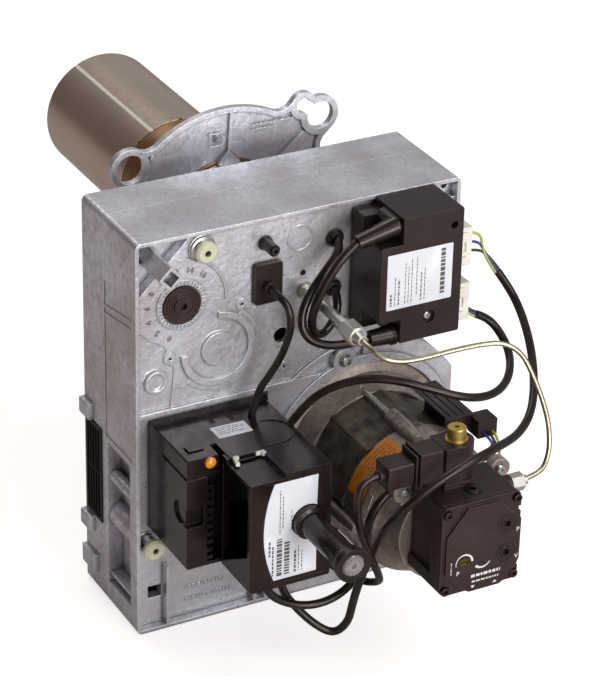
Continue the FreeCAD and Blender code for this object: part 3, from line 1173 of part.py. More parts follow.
def lead_wires():
    """Single wires between the connectors and the sheathed leads, and at the motor."""
    wires = []
    for index, route in ((1, SUPPLY_CABLE), (0, IGNITION_CABLE)):
        end = route[0]
        ahead = (route[1] - route[0]).normalize()
        side = ahead.cross(V(0, 1, 0)).normalize()
        for i, a in enumerate(wire_ends(index)):
            b = end + side * ((1 - i) * 1.9)
            reach = (b - a).Length
            wires.append(cord_tube([a, a + V(reach * 0.4, 0, 0), b - ahead * reach * 0.4, b], WIRE_D))
    _, x1, y0, _, _, z1 = CAP_BOX
    _, d, h = MOTOR_SOCKET
    for i in range(3):
        a = V(x1 + 4 * i, y0 - d + 4, z1 - h + 3)
        foot = V(*seat_on_shield(30 - 7 * i))
        out = V(foot.x - AXIS_X, 0, foot.z - AXIS_Z).normalize()
        wires.append(cord_tube([a, a + V(0, -9, 0), foot + out * 14 + V(0, -4, 0), foot], WIRE_D))
    return group(*wires)


def seat_on_shield(degrees):
    y = STACK_Y0 - 20
    x, z = polar(SHIELD_R, degrees)
    return x, y, z


def upper_boot(slack):
    """Elbow boot: a foot on the block, a ball and an arm towards the lead."""
    corner = V(IGN_X0 - 1, -IGN_D + 11, IGN_Z0 + IGN_H - 9.5)
    arm = HV_UPPER[0] - corner
    return join(Part.makeSphere(BOOT_R + slack, corner),
                rod_y(corner.x, corner.z, BOOT_R + slack, corner.y, -IGN_D * 0.35),
                Part.makeCone(BOOT_R + slack, 5.6 + slack, arm.Length, corner, arm))


def hv_boots():
    """Rubber boots over the two high-voltage outlets."""
    start = HV_LOWER[0]
    root = V(IGN_X0 - 0.1, start.y, start.z)
    lower = join(Part.makeCone(BOOT_R, 6.4, (start - root).Length, root, start - root),
                 Part.makeCylinder(BOOT_R + 0.8, 3, root, start - root))
    return group(upper_boot(0), lower)


def cable_grommets():
    grommets = []
    for x, z in GROMMETS:
        body = turned_y(x, z, [(GROMMET_R - 2.5, CAVITY_Y0 + 3), (GROMMET_R - 2.5, FIELD_Y),
                               (GROMMET_R, FIELD_Y),
                               (GROMMET_R, FIELD_Y - 3), (GROMMET_R - 1.5, FIELD_Y - 5),
                               (HV_CABLE_D / 2 - 0.5, FIELD_Y - 5),
                               (HV_CABLE_D / 2 - 0.5, CAVITY_Y0 + 3)])
        grommets.append(body)
    return group(*grommets)


def locking_screws():
    """Quick-release screws that hold the front casting, with spring washers."""
    screws = []
    for x, z, length, washer_r in QUICK_SCREWS:
        y = quick_seat(z)
        cup = y - length + CAP_L
        shank = rod_y(x, z, QUICK_R, y - 1, CAVITY_Y0 + 6)
        body = turned_y(x, z, [(0, y), (washer_r, y), (washer_r, y - 1.2), (washer_r - 3, y - 1.8),
                               (washer_r - 0.8, y - 3.2), (CAP_R - 1.5, y - 4.2),
                               (CAP_R - 1.5, cup), (0, cup)])
        screws.append(join(shank, body))
    return group(*screws)


def quick_seat(z):
    return FIELD_Y if z > LEDGE_Z else FLOOR_Y


def locking_caps():
    caps = []
    for x, z, length, _ in QUICK_SCREWS:
        y = quick_seat(z) - length
        back = y + CAP_L
        cap = turned_y(x, z, [(0, back), (CAP_R - 0.8, back), (CAP_R, back - 1.5), (CAP_R, y + 2),
                              (CAP_R - 2, y), (0, y)])
        caps.append(cap.cut(hexagon_y(x, z, 5, y - 1, y + 4)))
    return group(*caps)


def control_base():
    """Terminal base: a left block and an open wiring space between it and the cover."""
    x1 = CTRL_X0 + 1.5
    front = BASE_FRONT_Y
    body = box(BASE_X0, x1, front, FLOOR_Y, CTRL_Z0 + 3, CTRL_Z1)
    body = round_along(body, V(0, 1, 0), 1.5, lambda c: c.x < BASE_X0 + 1)
    groove_z = BASE_HEAD_Z - BASE_GROOVE_H
    window_w, window_z0, window_z1 = BASE_WINDOW
    clip_x = BASE_X0 + 6
    clip_y = front + 10
    cuts = [box(BASE_BLOCK_X1, x1 + 1, front - 1, front + BASE_GAP_D, CTRL_Z0 + 6, groove_z),
            box(BASE_HEAD_X1, x1 + 1, front - 1, front + BASE_GAP_D, groove_z - 1, CTRL_Z1 + 1),
            box(BASE_X0 - 1, BASE_X0 + 1.2, front - 1, -18, groove_z, BASE_HEAD_Z),
            box(BASE_X0 - 1, BASE_HEAD_X1 + 1, front - 1, front + 1.2, groove_z, BASE_HEAD_Z),
            box(BASE_X0 - 1, BASE_X0 + window_w, front - 1, front + 6, window_z0, window_z1),
            rod_x(front + 13, window_z0 + 9, 9.5, BASE_X0 - 1, BASE_X0 + 2),
            box(clip_x, clip_x + 14, clip_y, clip_y + 10, CTRL_Z1 - 3, CTRL_Z1 + 1)]
    body = body.cut(cuts)
    count = int((groove_z - CTRL_Z0 - 8) / TOOTH_PITCH)
    teeth = []
    for i in range(count):
        z = CTRL_Z0 + 8 + i * TOOTH_PITCH
        teeth.append(box(BASE_BLOCK_X1 - 1, BASE_BLOCK_X1 + TOOTH_L, front, front + BASE_GAP_D + 1,
                         z, z + TOOTH_H))
    clip = box(clip_x + 1, clip_x + 13, clip_y + 1, clip_y + 9, CTRL_Z1 - 4, CTRL_Z1 + 1.2)
    return join(body, clip, *teeth)


def control_cover():
    """Hollow moulded cover of the burner control, open to the wiring space on its left."""
    x0, x1 = CTRL_X0 + 1.6, CTRL_X1
    w = CTRL_WALL
    outer = box(x0, x1, CTRL_FRONT_Y, FLOOR_Y, CTRL_Z0, CTRL_Z1)
    outer = round_along(outer, V(0, 1, 0), 2, lambda c: c.x > x0 + 5)
    step = box(CTRL_X0 - 1, x0 + 1, CTRL_FRONT_Y, BASE_FRONT_Y - 0.5, CTRL_Z0 + 2, CTRL_Z1 - 1)
    step_z = CTRL_Z1 - COVER_STEP_H
    body = join(outer, step)
    body = body.cut(box(CTRL_X0 - 2, x0 + COVER_STEP_X, CTRL_FRONT_Y - 1, COVER_STEP_Y, step_z, CTRL_Z1 + 1))
    hollow = box(x0 + w, x1 - w, CTRL_FRONT_Y + w, FLOOR_Y + 1, CTRL_Z0 + w, CTRL_Z1 - w)
    hollow = hollow.cut(box(x0, x0 + COVER_STEP_X + w, CTRL_FRONT_Y, COVER_STEP_Y + w, step_z - w, CTRL_Z1))
    panel = box(PANEL_LEFT, x1 - 2.2, CTRL_FRONT_Y - 1, CTRL_FRONT_Y + PANEL_DEPTH, CTRL_Z0 + 4, CTRL_Z1 - 6)
    middle = (CTRL_Z0 + CTRL_Z1) / 2
    panel = panel.common(rod_y(PANEL_LEFT + PANEL_R, middle, PANEL_R, CTRL_FRONT_Y - 2, CTRL_FRONT_Y + 2))
    left = BASE_FRONT_Y - w
    right = CTRL_FRONT_Y + w + 1.5
    window = prism_x([(left, CTRL_Z0 + 6), (right, CTRL_Z0 + 31), (right, step_z - w - 1),
                      (left, step_z - w - 1)], CTRL_X0 - 2, x0 + w + 1)
    slot = box(x0 + 5, x0 + COVER_STEP_X - 1, COVER_STEP_Y - 6, COVER_STEP_Y - 0.5, step_z - w - 1, CTRL_Z1)
    cuts = [rod_y(RESET_X, RESET_Z, RESET_STEM_R + 0.3, CTRL_FRONT_Y - 1, CTRL_FRONT_Y + w + 1),
            rod_y(AXIS_X, AXIS_Z, SCROLL_R + 0.3, -0.3, FLOOR_Y + 1)]
    for cut in (hollow, panel, window, slot, *cuts):
        body = body.cut(cut)
    return body


def reset_sleeve():
    """Extension sleeve that brings the reset button to the front."""
    y1 = CTRL_FRONT_Y + 0.8
    y0 = y1 - RESET_L
    profile = [(LENS_R + LENS_GAP, y0), (RESET_FLANGE_R, y0), (RESET_FLANGE_R, y0 + 5),
               (RESET_FLANGE_R - 1.5, y0 + 6),
               (RESET_FLANGE_R - 1.5, y0 + 8), (RESET_R + 1.5, y0 + 9.5), (RESET_R + 1.5, y0 + 12),
               (RESET_R, y0 + 13), (RESET_R, y1 - 7), (RESET_FLANGE_R - 0.5, y1 - 6),
               (RESET_FLANGE_R - 0.5, y1),
               (RESET_R - 6, y1), (RESET_R - 6, y0 + 9), (LENS_R + LENS_GAP, y0 + 9)]
    return turned_y(RESET_X, RESET_Z, profile)


def reset_button():
    y0 = CTRL_FRONT_Y + 0.8 - RESET_L
    stem_end = CTRL_FRONT_Y + CTRL_WALL + 2
    profile = [(0, y0 - 0.5), (LENS_R - 1, y0 - 0.5), (LENS_R, y0 + 0.5), (LENS_R, y0 + 5.5),
               (RESET_STEM_R, y0 + 5.5), (RESET_STEM_R, stem_end), (0, stem_end)]
    return turned_y(RESET_X, RESET_Z, profile)


def signal_lamp():
    body = rod_y(LAMP_X, LAMP_Z, LAMP_R, BASE_FRONT_Y - 1.5, BASE_FRONT_Y)
    dome = Part.makeSphere(LAMP_R * 1.3, V(LAMP_X, BASE_FRONT_Y + 1.8, LAMP_Z))
    dome = dome.common(rod_y(LAMP_X, LAMP_Z, LAMP_R - 0.2, BASE_FRONT_Y - 6, BASE_FRONT_Y - 1))
    return join(body, dome)


def flame_sensor_plug():
    x, z, w, h, t = SENSOR
    plate = round_along(box(x, x + w, FIELD_Y - t, FIELD_Y, z, z + h), V(0, 1, 0), 2)
    root = box(x + 6.5, x + w - 6.5, FIELD_Y - 1, CAVITY_Y0 + 8, z + 6.5, z + h - 6.5)
    gland = rod_y(SENSOR_CABLE[0].x, SENSOR_CABLE[0].z, 5, SENSOR_CABLE[0].y, FIELD_Y - t + 1)
    return join(plate, root, gland)


def pressure_nipple():
    y = FIELD_Y
    profile = [(0, CAVITY_Y0 + 4), (NIPPLE_R - 1.6, CAVITY_Y0 + 4), (NIPPLE_R - 1.6, y), (NIPPLE_R + 1, y),
               (NIPPLE_R + 1, y - 2), (NIPPLE_R, y - 3), (NIPPLE_R, y - NIPPLE_L + 2),
               (NIPPLE_R - 1.5, y - NIPPLE_L), (0, y - NIPPLE_L)]
    body = turned_y(NIPPLE_X, NIPPLE_Z, profile)
    return body.cut(rod_y(NIPPLE_X, NIPPLE_Z, 1.5, y - NIPPLE_L - 1, y - NIPPLE_L + 8))


# Routes of the leads and the oil line, chosen by hand, front view from left to right
SENSOR_CABLE = [V(110.5, -9, 291.5), V(110.5, -21, 291.5), V(115, -30, 284), V(116, -32, 270),
                V(114, -30, 255), V(110, -26, 239), V(103, -22, 224), V(95, -19, 211),
                V(90, -18, 190)]
HV_UPPER = [V(171, -33, 328.5), V(159.5, -33, 320), V(150.5, -32, 307.5), V(143.5, -31, 294.5),
            V(137.5, -30, 281), V(135.5, -28, 267), V(139.5, -25, 254), V(149, -21, 248.5),
            V(157.5, -18, 252.5), V(164, -16, 260.5), V(168, -11, 268.5), V(170, -2, 275)]
HV_LOWER = [V(183, -34, 243), V(165, -34, 243), V(147, -33, 245), V(133, -30, 252), V(128, -26, 263),
            V(130.5, -23, 275), V(138, -20.5, 286.5), V(147, -19, 297), V(155, -18, 305),
            V(162, -16, 311), V(168.5, -10.5, 316), V(171, -2, 317.5)]
SUPPLY_CABLE = [V(293, -43, 282), V(299.5, -51, 270), V(301, -66, 257.5), V(296.5, -87, 245),
                V(289, -107, 233), V(279, -126, 221), V(265, -144, 211.5), V(245, -159, 207),
                V(221, -171, 209.5), V(196, -180, 210.5), V(171, -181, 203), V(150, -177, 189),
                V(137.5, -169, 172), V(132.5, -157, 152), V(132, -145, 131), V(130, -136, 110),
                V(127, -129, 88), V(126.5, -122, 66), V(127.5, -115, 45), V(119, -108, 32),
                V(106, -101, 40), V(93, -94, 55), V(82, -88, 72), V(80, -86, 90)]
IGNITION_CABLE = [V(280, -35, 243.5), V(290, -37, 239), V(297.5, -45, 228), V(297, -61, 218),
                  V(287, -79, 211), V(271, -94, 208.5), V(251, -104, 210.5), V(229, -106, 216),
                  V(207, -98, 224), V(184, -87, 232), V(162, -74, 234), V(141, -60, 226),
                  V(124, -48, 211), V(112, -42, 190)]
VALVE_CABLE = [V(127.6, -151, 197), V(119, -151, 196.5), V(112.5, -151, 190), V(110.5, -151, 177),
               V(112, -151, 161), V(117.5, -151, 143), V(125.5, -150.5, 124), V(133.5, -149, 106),
               V(140.5, -139, 93), V(137, -127, 86), V(129, -116, 86), V(121, -106, 91),
               V(113.6, -100, 97)]
MOTOR_CABLE = [V(181, -124, 173.5), V(170, -125.5, 172.5), V(156, -127.5, 167), V(143, -128, 157),
               V(135.5, -128, 144), V(134.5, -126, 128.5), V(138, -121, 111), V(138.5, -114, 91),
               V(132, -108, 73), V(117, -105, 62.5), V(98, -102, 60.5), V(80, -99, 67),
               V(66, -97, 78), V(62, -96, 90)]
OIL_LINE = [V(145.9, -82, 277.2), V(145.9, -99, 277.2), V(152, -109, 270), V(165, -114, 266.5),
            V(183, -118, 267.5), V(205, -122, 271), V(227, -127, 273.5), V(245, -131, 273),
            V(258, -137, 264), V(264.5, -143, 248), V(271, -150, 227), V(275, -156, 205),
            V(272.5, -162, 183), V(261, -166.5, 170.5), V(236, -166.5, 170.5)]
CABLE_D = 6.6
THIN_CABLE_D = 6.0
HV_CABLE_D = 7.0
WIRE_D = 1.8


def cord_tube(points, d, name=""):
    """Straight runs joined by tangent arcs, swept with a round section."""
    edges = []
    at = points[0]
    radii = []
    for i in range(1, len(points) - 1):
        before = points[i] - points[i - 1]
        after = points[i + 1] - points[i]
        turn = before.getAngle(after)
        run = min(before.Length, after.Length)
        radius = 0.45 * run / math.tan(turn / 2)
        cut = 0.45 * run
        start = points[i] - before.normalize() * cut
        end = points[i] + after.normalize() * cut
        centre_way = (after - before).normalize()
        centre = points[i] + centre_way * math.hypot(radius, cut)
        middle = centre + (points[i] - centre).normalize() * radius
        edges.append(Part.LineSegment(at, start).toShape())
        edges.append(Part.Arc(start, middle, end).toShape())
        radii.append(radius)
        at = end
    edges.append(Part.LineSegment(at, points[-1]).toShape())
    path = Part.Wire(edges)
    section = Part.Wire([Part.Circle(points[0], (points[1] - points[0]).normalize(), d / 2).toShape()])
    tube = path.makePipeShell([section], True, True)
    if name:
        full = math.pi * d * d / 4 * path.Length
        print(f"{name}: length {path.Length:.0f}, smallest radius {min(radii):.1f} = {min(radii) / d:.1f} d,"
              f" volume share {tube.Volume / full:.4f}")
    return tube


PARTS = {
    "front_housing": front_housing,
    "rear_housing": rear_housing,
    "air_inlet_grille": air_inlet_grille,
    "mounting_flange": mounting_flange,
    "burner_tube": burner_tube,
    "tube_root": tube_root,
    "motor_rear_shield": motor_rear_shield,
    "stator_stack": stator_stack,
    "stator_windings": stator_windings,
    "motor_front_shield": motor_front_shield,
    "motor_tie_bolts": motor_tie_bolts,
    "motor_shaft": motor_shaft,
    "rotor_core": rotor_core,
    "motor_bearings": motor_bearings,
    "fan_wheel": fan_wheel,
    "fan_inlet_ring": fan_inlet_ring,
    "drive_coupling": drive_coupling,
    "capacitor_box": capacitor_box,
    "mounting_screws": mounting_screws,
    "pump_body": pump_body,
    "pump_cover": pump_cover,
    "pump_cover_screws": pump_cover_screws,
    "pump_port_plugs": pump_port_plugs,
    "pump_shaft": pump_shaft,
    "pressure_screw": pressure_screw,
    "valve_stem": valve_stem,
    "valve_armature": valve_armature,
    "solenoid_coil": solenoid_coil,
    "coil_nut": coil_nut,
    "valve_plug": valve_plug,
    "union_nuts": union_nuts,
    "nozzle_pipe": nozzle_pipe,
    "oil_preheater": oil_preheater,
    "spray_nozzle": spray_nozzle,
    "baffle_plate": baffle_plate,
    "ignition_electrodes": ignition_electrodes,
    "air_dial": air_dial,
    "air_damper": air_damper,
    "ignition_unit": ignition_unit,
    "supply_connectors": supply_connectors,
    "lead_wires": lead_wires,
    "hv_boots": hv_boots,
    "cable_grommets": cable_grommets,
    "locking_screws": locking_screws,
    "locking_caps": locking_caps,
    "control_base": control_base,
    "control_cover": control_cover,
    "reset_sleeve": reset_sleeve,
    "reset_button": reset_button,
    "signal_lamp": signal_lamp,
    "flame_sensor_plug": flame_sensor_plug,
    "pressure_nipple": pressure_nipple,
}
CORDS = {
    "sensor_cable": (SENSOR_CABLE, THIN_CABLE_D),
    "hv_cable_upper": (HV_UPPER, HV_CABLE_D),
    "hv_cable_lower": (HV_LOWER, HV_CABLE_D),
    "supply_cable": (SUPPLY_CABLE, CABLE_D),
    "ignition_cable": (IGNITION_CABLE, CABLE_D),
    "valve_cable": (VALVE_CABLE, THIN_CABLE_D),
    "motor_cable": (MOTOR_CABLE, CABLE_D),
    "oil_line": (OIL_LINE, PIPE_D),
}

os.makedirs("parts", exist_ok=True)
for node, make in PARTS.items():
    shape = make()
    shape.translate(-ORIGIN)
    if not shape.isValid():
        print("not valid:", node)
    shape.exportStep(f"parts/{node}.step")
for node, (route, diameter) in CORDS.items():
    shape = cord_tube(route, diameter, node)
    shape.translate(-ORIGIN)
    shape.exportStep(f"parts/{node}.step")
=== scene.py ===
import bmesh
import bpy
import math
import random
from mathutils import Matrix, Vector


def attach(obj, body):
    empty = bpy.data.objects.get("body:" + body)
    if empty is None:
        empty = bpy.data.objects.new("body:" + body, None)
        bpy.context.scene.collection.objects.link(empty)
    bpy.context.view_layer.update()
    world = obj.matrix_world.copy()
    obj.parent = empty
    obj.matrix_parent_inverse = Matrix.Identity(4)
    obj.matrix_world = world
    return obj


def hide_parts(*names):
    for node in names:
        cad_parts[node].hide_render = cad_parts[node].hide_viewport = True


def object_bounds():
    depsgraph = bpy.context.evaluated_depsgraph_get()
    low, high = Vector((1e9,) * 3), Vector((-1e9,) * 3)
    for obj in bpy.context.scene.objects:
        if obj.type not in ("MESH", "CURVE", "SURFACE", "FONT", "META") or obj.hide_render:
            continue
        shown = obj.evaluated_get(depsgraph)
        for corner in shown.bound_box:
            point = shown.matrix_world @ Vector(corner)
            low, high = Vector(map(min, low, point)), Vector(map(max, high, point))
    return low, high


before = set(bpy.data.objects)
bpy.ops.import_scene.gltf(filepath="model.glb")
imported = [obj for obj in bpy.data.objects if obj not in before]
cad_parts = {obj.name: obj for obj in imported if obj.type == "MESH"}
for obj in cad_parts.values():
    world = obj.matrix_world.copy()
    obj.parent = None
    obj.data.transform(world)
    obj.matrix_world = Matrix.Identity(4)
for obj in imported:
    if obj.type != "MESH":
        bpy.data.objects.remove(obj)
cad_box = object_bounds()


# The housing is two aluminium die castings, front and rear, with the mounting flange
# behind them. The skin is as cast: cool grey, cloudy from the die, with a painted highlight
# on its edges and painted shade in its corners.
def add_node(tree, kind, inputs, **settings):
    """A node with its settings; each input takes a value or a link from another node."""
    node = tree.nodes.new(kind)
    for name, value in settings.items():
        setattr(node, name, value)
    for name, value in inputs.items():
        if isinstance(value, bpy.types.NodeSocket):
            tree.links.new(value, node.inputs[name])
        else:
            node.inputs[name].default_value = value
    return node


class Finish:
    """One material, built from patterns that lie on the piece itself."""

    def __init__(self, name, colour, roughness, metallic=0.0, **more):
        self.material = bpy.data.materials.new(name)
        self.material.use_nodes = True
        self.tree = self.material.node_tree
        self.shader = self.tree.nodes["Principled BSDF"]
        self.colour = (*colour, 1.0)
        self.shader.inputs["Base Color"].default_value = self.colour
        self.shader.inputs["Roughness"].default_value = roughness
        self.shader.inputs["Metallic"].default_value = metallic
        for socket, value in more.items():
            self.shader.inputs[socket.replace("_", " ")].default_value = value

    def node(self, kind, inputs, **settings):
        return add_node(self.tree, "ShaderNode" + kind, inputs, **settings)

    def place(self, stretch=(1, 1, 1)):
        """Where a point lies on the piece; a stretch under 1 draws a pattern out."""
        spot = self.node("TexCoord", {}).outputs["Object"]
        return self.node("Mapping", {"Vector": spot, "Scale": stretch}).outputs[0]

    def clouds(self, size, detail, stretch=(1, 1, 1)):
        """Soft noise whose blotches are about size metres across."""
        return self.node("TexNoise", {"Vector": self.place(stretch), "Scale": 1 / size,
                                      "Detail": detail}).outputs["Fac"]

    def span(self, value, low, high, out_low=0.0, out_high=1.0):
        """A value from low to high, spread from out_low to out_high and held there beyond."""
        return self.node("MapRange", {"Value": value, "From Min": low, "From Max": high,
                                      "To Min": out_low, "To Max": out_high}).outputs[0]

    def maths(self, operation, first, second=0.0):
        return self.node("Math", {0: first, 1: second}, operation=operation).outputs[0]

    def shade(self, share, first, second):
        """One colour where share is 0, the other where it is 1."""
        mix = self.node("Mix", {"Factor": share, 6: first, 7: second}, data_type="RGBA")
        return mix.outputs[2]

    def edges(self, radius):
        """The normal of softly rounded edges, and a mask that is 1 on them."""
        soft = self.node("Bevel", {"Radius": radius}, samples=6).outputs[0]
        flat = self.node("NewGeometry", {}).outputs["Normal"]
        same = self.node("VectorMath", {0: soft, 1: flat}, operation="DOT_PRODUCT").outputs["Value"]
        return soft, self.span(same, 0.995, 0.93)

    def relief(self, height, depth, over=None):
        """Fine bumps of the given depth, laid over a normal where one is given."""
        inputs = {"Height": height, "Distance": depth}
        if over is not None:
            inputs["Normal"] = over
        return self.node("Bump", inputs).outputs[0]

    def use(self, **sockets):
        """Join patterns to the shader's sockets and return the material."""
        for socket, value in sockets.items():
            self.tree.links.new(value, self.shader.inputs[socket.replace("_", " ")])
        return self.material


def tone(red, green, blue):
    """A colour judged on the photo, from 0 to 255, in the linear values that nodes mix."""
    return tuple(((v / 255 + 0.055) / 1.055) ** 2.4 if v > 10 else v / 255 / 12.92
                 for v in (red, green, blue))


def dress(material, *nodes):
    """Give the material to pieces that come from the CAD model."""
    for node in nodes:
        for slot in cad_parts[node].material_slots:
            slot.material = material


def as_cast(name, colour, dark, roughness):
    """Die-cast skin: clouds from the die, fine mottling, painted shade in the corners and a painted
    highlight on the edges.
    """
    cast = Finish(name, colour, roughness, metallic=0.72)
    soft, edge = cast.edges(0.0008)
    clouds = cast.clouds(0.05, 5.0)
    mottle = cast.clouds(0.0055, 4.0)
    specks = cast.clouds(0.0014, 2.0)
    warm = (dark[0] * 1.02, dark[1] * 0.9, dark[2] * 0.84, 1)
    shade = cast.shade(cast.span(clouds, 0.36, 0.66, 0.0, 0.6), cast.colour, warm)
    shade = cast.shade(cast.span(mottle, 0.45, 0.66, 0.0, 0.5), shade, (*dark, 1))
    shade = cast.shade(cast.span(specks, 0.52, 0.7, 0.0, 0.55), shade, (*dark, 1))
    # Painted shade: the colour darkens almost to black where other surfaces lie within a few millimetres, in
    # corners, creases and round raised marks and nearby parts.
    hollow = cast.node("AmbientOcclusion", {"Distance": 0.0035}, samples=8).outputs["AO"]
    painted_shade = tuple(v * 0.22 for v in dark)
    shade = cast.shade(cast.span(hollow, 0.9, 0.5, 0.0, 0.85), shade, (*painted_shade, 1))
    # Painted highlight: the softly rounded edges are lightened.
    edge_highlight = tuple(min(1.0, v * 1.3) for v in colour)
    shade = cast.shade(cast.maths("MULTIPLY", edge, 0.8), shade, (*edge_highlight, 1))
    grain = cast.relief(specks, 0.0001, soft)
    waves = cast.relief(mottle, 0.0004, grain)
    rough = cast.span(mottle, 0.3, 0.7, roughness - 0.1, roughness + 0.12)
    return cast.use(Base_Color=shade, Normal=waves, Roughness=rough)


casting = as_cast("cast_aluminium", tone(232, 235, 243), tone(176, 172, 178), 0.36)
dress(casting, "front_housing", "rear_housing", "mounting_flange")
# The raised figures use a darker copy of the casting than the faces round them.
dark_marks = as_cast("cast_marks", tone(160, 155, 160), tone(100, 92, 96), 0.45)


# The air setting's scale is cast in the front housing: raised marks on the ring around
# the knob, and plain numbers outside it, standing less than a millimetre proud.
def from_corner(x, y, z):
    """A point given from the front casting's lower left corner, in metres."""
    return Vector((x - 0.141, y - 0.136, z - 0.2842))


def add_piece(name, mesh, material, body="burner"):
    """Put a mesh in the scene as a piece that rides on a body."""
    piece = bpy.data.objects.new(name, mesh)
    bpy.context.scene.collection.objects.link(piece)
    mesh.materials.clear()
    mesh.materials.append(material)
    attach(piece, body)


def close_up(name, shell):
    """A named mesh of the closed shell, with its faces turned outwards."""
    bmesh.ops.recalc_face_normals(shell, faces=shell.faces)
    mesh = bpy.data.meshes.new(name)
    shell.to_mesh(mesh)
    shell.free()
    return mesh


def on_front(mesh, y, x=0.0, z=0.0):
    """Stand a mesh drawn flat upright at depth y, its own middle at x and z from the corner."""
    mesh.transform(Matrix.Translation(from_corner(x, y, z)) @ Matrix.Rotation(math.radians(90), 4, "X"))
    return mesh


class Pattern:
    """A node tree that repeats a small part, with its sizes as named inputs."""

    def __init__(self, name, **sizes):
        self.tree = bpy.data.node_groups.new(name, "GeometryNodeTree")
        self.sizes = sizes
        self.tree.interface.new_socket("Geometry", in_out="INPUT", socket_type="NodeSocketGeometry")
        self.tree.interface.new_socket("Geometry", in_out="OUTPUT", socket_type="NodeSocketGeometry")
        self.sockets = {}
        for size in sizes:
            kind = "NodeSocketInt" if isinstance(sizes[size], int) else "NodeSocketFloat"
            self.sockets[size] = self.tree.interface.new_socket(size, in_out="INPUT", socket_type=kind)
        self.start = self.tree.nodes.new("NodeGroupInput")
        self.end = self.tree.nodes.new("NodeGroupOutput")

    def node(self, kind, inputs, **settings):
        return add_node(self.tree, kind, inputs, **settings)

    def size(self, name):
        return self.start.outputs[name]

    def make(self, name, parts, material):
        """Set the inputs, evaluate the tree and return the result as a plain mesh."""
        real = self.node("GeometryNodeRealizeInstances", {"Geometry": parts}).outputs[0]
        done = self.node("GeometryNodeSetMaterial", {"Geometry": real, "Material": material}).outputs[0]
        self.tree.links.new(done, self.end.inputs["Geometry"])
        carrier = bpy.data.objects.new(name + "_pattern", bpy.data.meshes.new(name + "_pattern"))
        bpy.context.scene.collection.objects.link(carrier)
        modifier = carrier.modifiers.new("pattern", "NODES")
        modifier.node_group = self.tree
        for size, value in self.sizes.items():
            modifier[self.sockets[size].identifier] = value
        bpy.context.view_layer.update()
        graph = bpy.context.evaluated_depsgraph_get()
        mesh = bpy.data.meshes.new_from_object(carrier.evaluated_get(graph))
        mesh.name = name
        carrier.modifiers.remove(modifier)
        bpy.data.objects.remove(carrier)
        return mesh


def ring_of_bars(name, material, **sizes):
    """Short bars round a ring, each pointing out from its middle, as on a dial's scale."""
    ring = Pattern(name, **sizes)
    spots = ring.node("GeometryNodeMeshCircle", {"Vertices": ring.size("Bars"),
                                                 "Radius": ring.size("Radius")}).outputs[0]
    bar_size = ring.node("ShaderNodeCombineXYZ", {0: ring.size("Length"), 1: ring.size("Width"),
                                                  2: ring.size("Height")}).outputs[0]
    single = ring.node("GeometryNodeMeshCube", {"Size": bar_size}).outputs[0]
    place = ring.node("GeometryNodeInputPosition", {}).outputs[0]
    outward = ring.node("FunctionNodeAlignRotationToVector", {"Vector": place}, axis="X").outputs[0]
    bars = ring.node("GeometryNodeInstanceOnPoints", {"Points": spots, "Instance": single,
                                                      "Rotation": outward}).outputs[0]
    return ring.make(name, bars, material)


DIAL_X, DIAL_Z = 0.0395, 0.2885
MARKS_DEPTH, FIGURES_DEPTH = 0.0018, 0.0030
marks = ring_of_bars("dial_marks", casting, Bars=36, Radius=0.0187, Length=0.0034, Width=0.0013,
                     Height=0.0012)
add_piece("dial_marks", on_front(marks, MARKS_DEPTH, DIAL_X, DIAL_Z), casting)


def raised_text(name, words, height, depth, places):
    """Raised letters or figures; each place is x, z and a turn in degrees."""
    figures = bmesh.new()
    for word, (x, z, turn) in zip(words, places):
        text = bpy.data.curves.new(name, "FONT")
        text.body = word
        text.size = height
        text.extrude = depth / 2
        text.offset = height * 0.012
        text.align_x = "CENTER"
        text.align_y = "CENTER"
        text.resolution_u = 3
        carrier = bpy.data.objects.new(name, text)
        flat = bpy.data.meshes.new_from_object(carrier)
        flat.transform(Matrix.Translation((x, z, 0)) @ Matrix.Rotation(math.radians(turn), 4, "Z"))
        figures.from_mesh(flat)
        bpy.data.objects.remove(carrier)
        bpy.data.meshes.remove(flat)
    bmesh.ops.remove_doubles(figures, verts=figures.verts, dist=1e-6)
    return close_up(name, figures)


FIGURES_RADIUS, FIRST_TURN, TURN_APART = 0.0285, 250, 25
places = []
for step in range(9):
    turn = FIRST_TURN - TURN_APART * step
    places.append((FIGURES_RADIUS * math.cos(math.radians(turn)),
                   FIGURES_RADIUS * math.sin(math.radians(turn)), turn - 90))
figures = raised_text("dial_figures", [str(2 * step) for step in range(9)], height=0.0066,
                      depth=0.0012, places=places)
add_piece("dial_figures", on_front(figures, FIGURES_DEPTH, DIAL_X, DIAL_Z), dark_marks)


# The burner tube is rolled from stainless sheet and brushed on a lathe, so that its grain
# runs round it; a narrow near-white line along its upper side is a painted highlight. The
# grooved root tube is browned by heat.
def brushed(name, colour, roughness, grain=0.0011, stretch=(1, 1, 1), contrast=0.25, depth=0.000008):
    """Bright metal with a fine grain, faint stains and a painted highlight on its softly rounded edges."""
    steel = Finish(name, colour, roughness, metallic=1.0)
    soft, edge = steel.edges(0.0005)
    lines = steel.clouds(grain, 2.0, stretch=stretch)
    patches = steel.clouds(0.035, 3.0)
    dark = tuple(v * 0.7 for v in colour)
    edge_highlight = tuple(min(1.0, v * 1.25 + 0.03) for v in colour)
    shade = steel.shade(steel.span(lines, 0.35, 0.65, 0.0, contrast), steel.colour, (*dark, 1))
    shade = steel.shade(steel.span(patches, 0.4, 0.75, 0.0, 0.25), shade, (*dark, 1))
    # Painted highlight: the rounded edges are lightened.
    shade = steel.shade(steel.maths("MULTIPLY", edge, 0.6), shade, (*edge_highlight, 1))
    rough = steel.span(lines, 0.3, 0.7, roughness - 0.04, roughness + 0.06)
    return steel, shade, rough, steel.relief(lines, depth, soft)


def as_brushed(name, colour, roughness, **more):
    """The same metal as a finished material, with nothing added to it."""
    steel, shade, rough, normal = brushed(name, colour, roughness, **more)
    return steel.use(Base_Color=shade, Roughness=rough, Normal=normal)


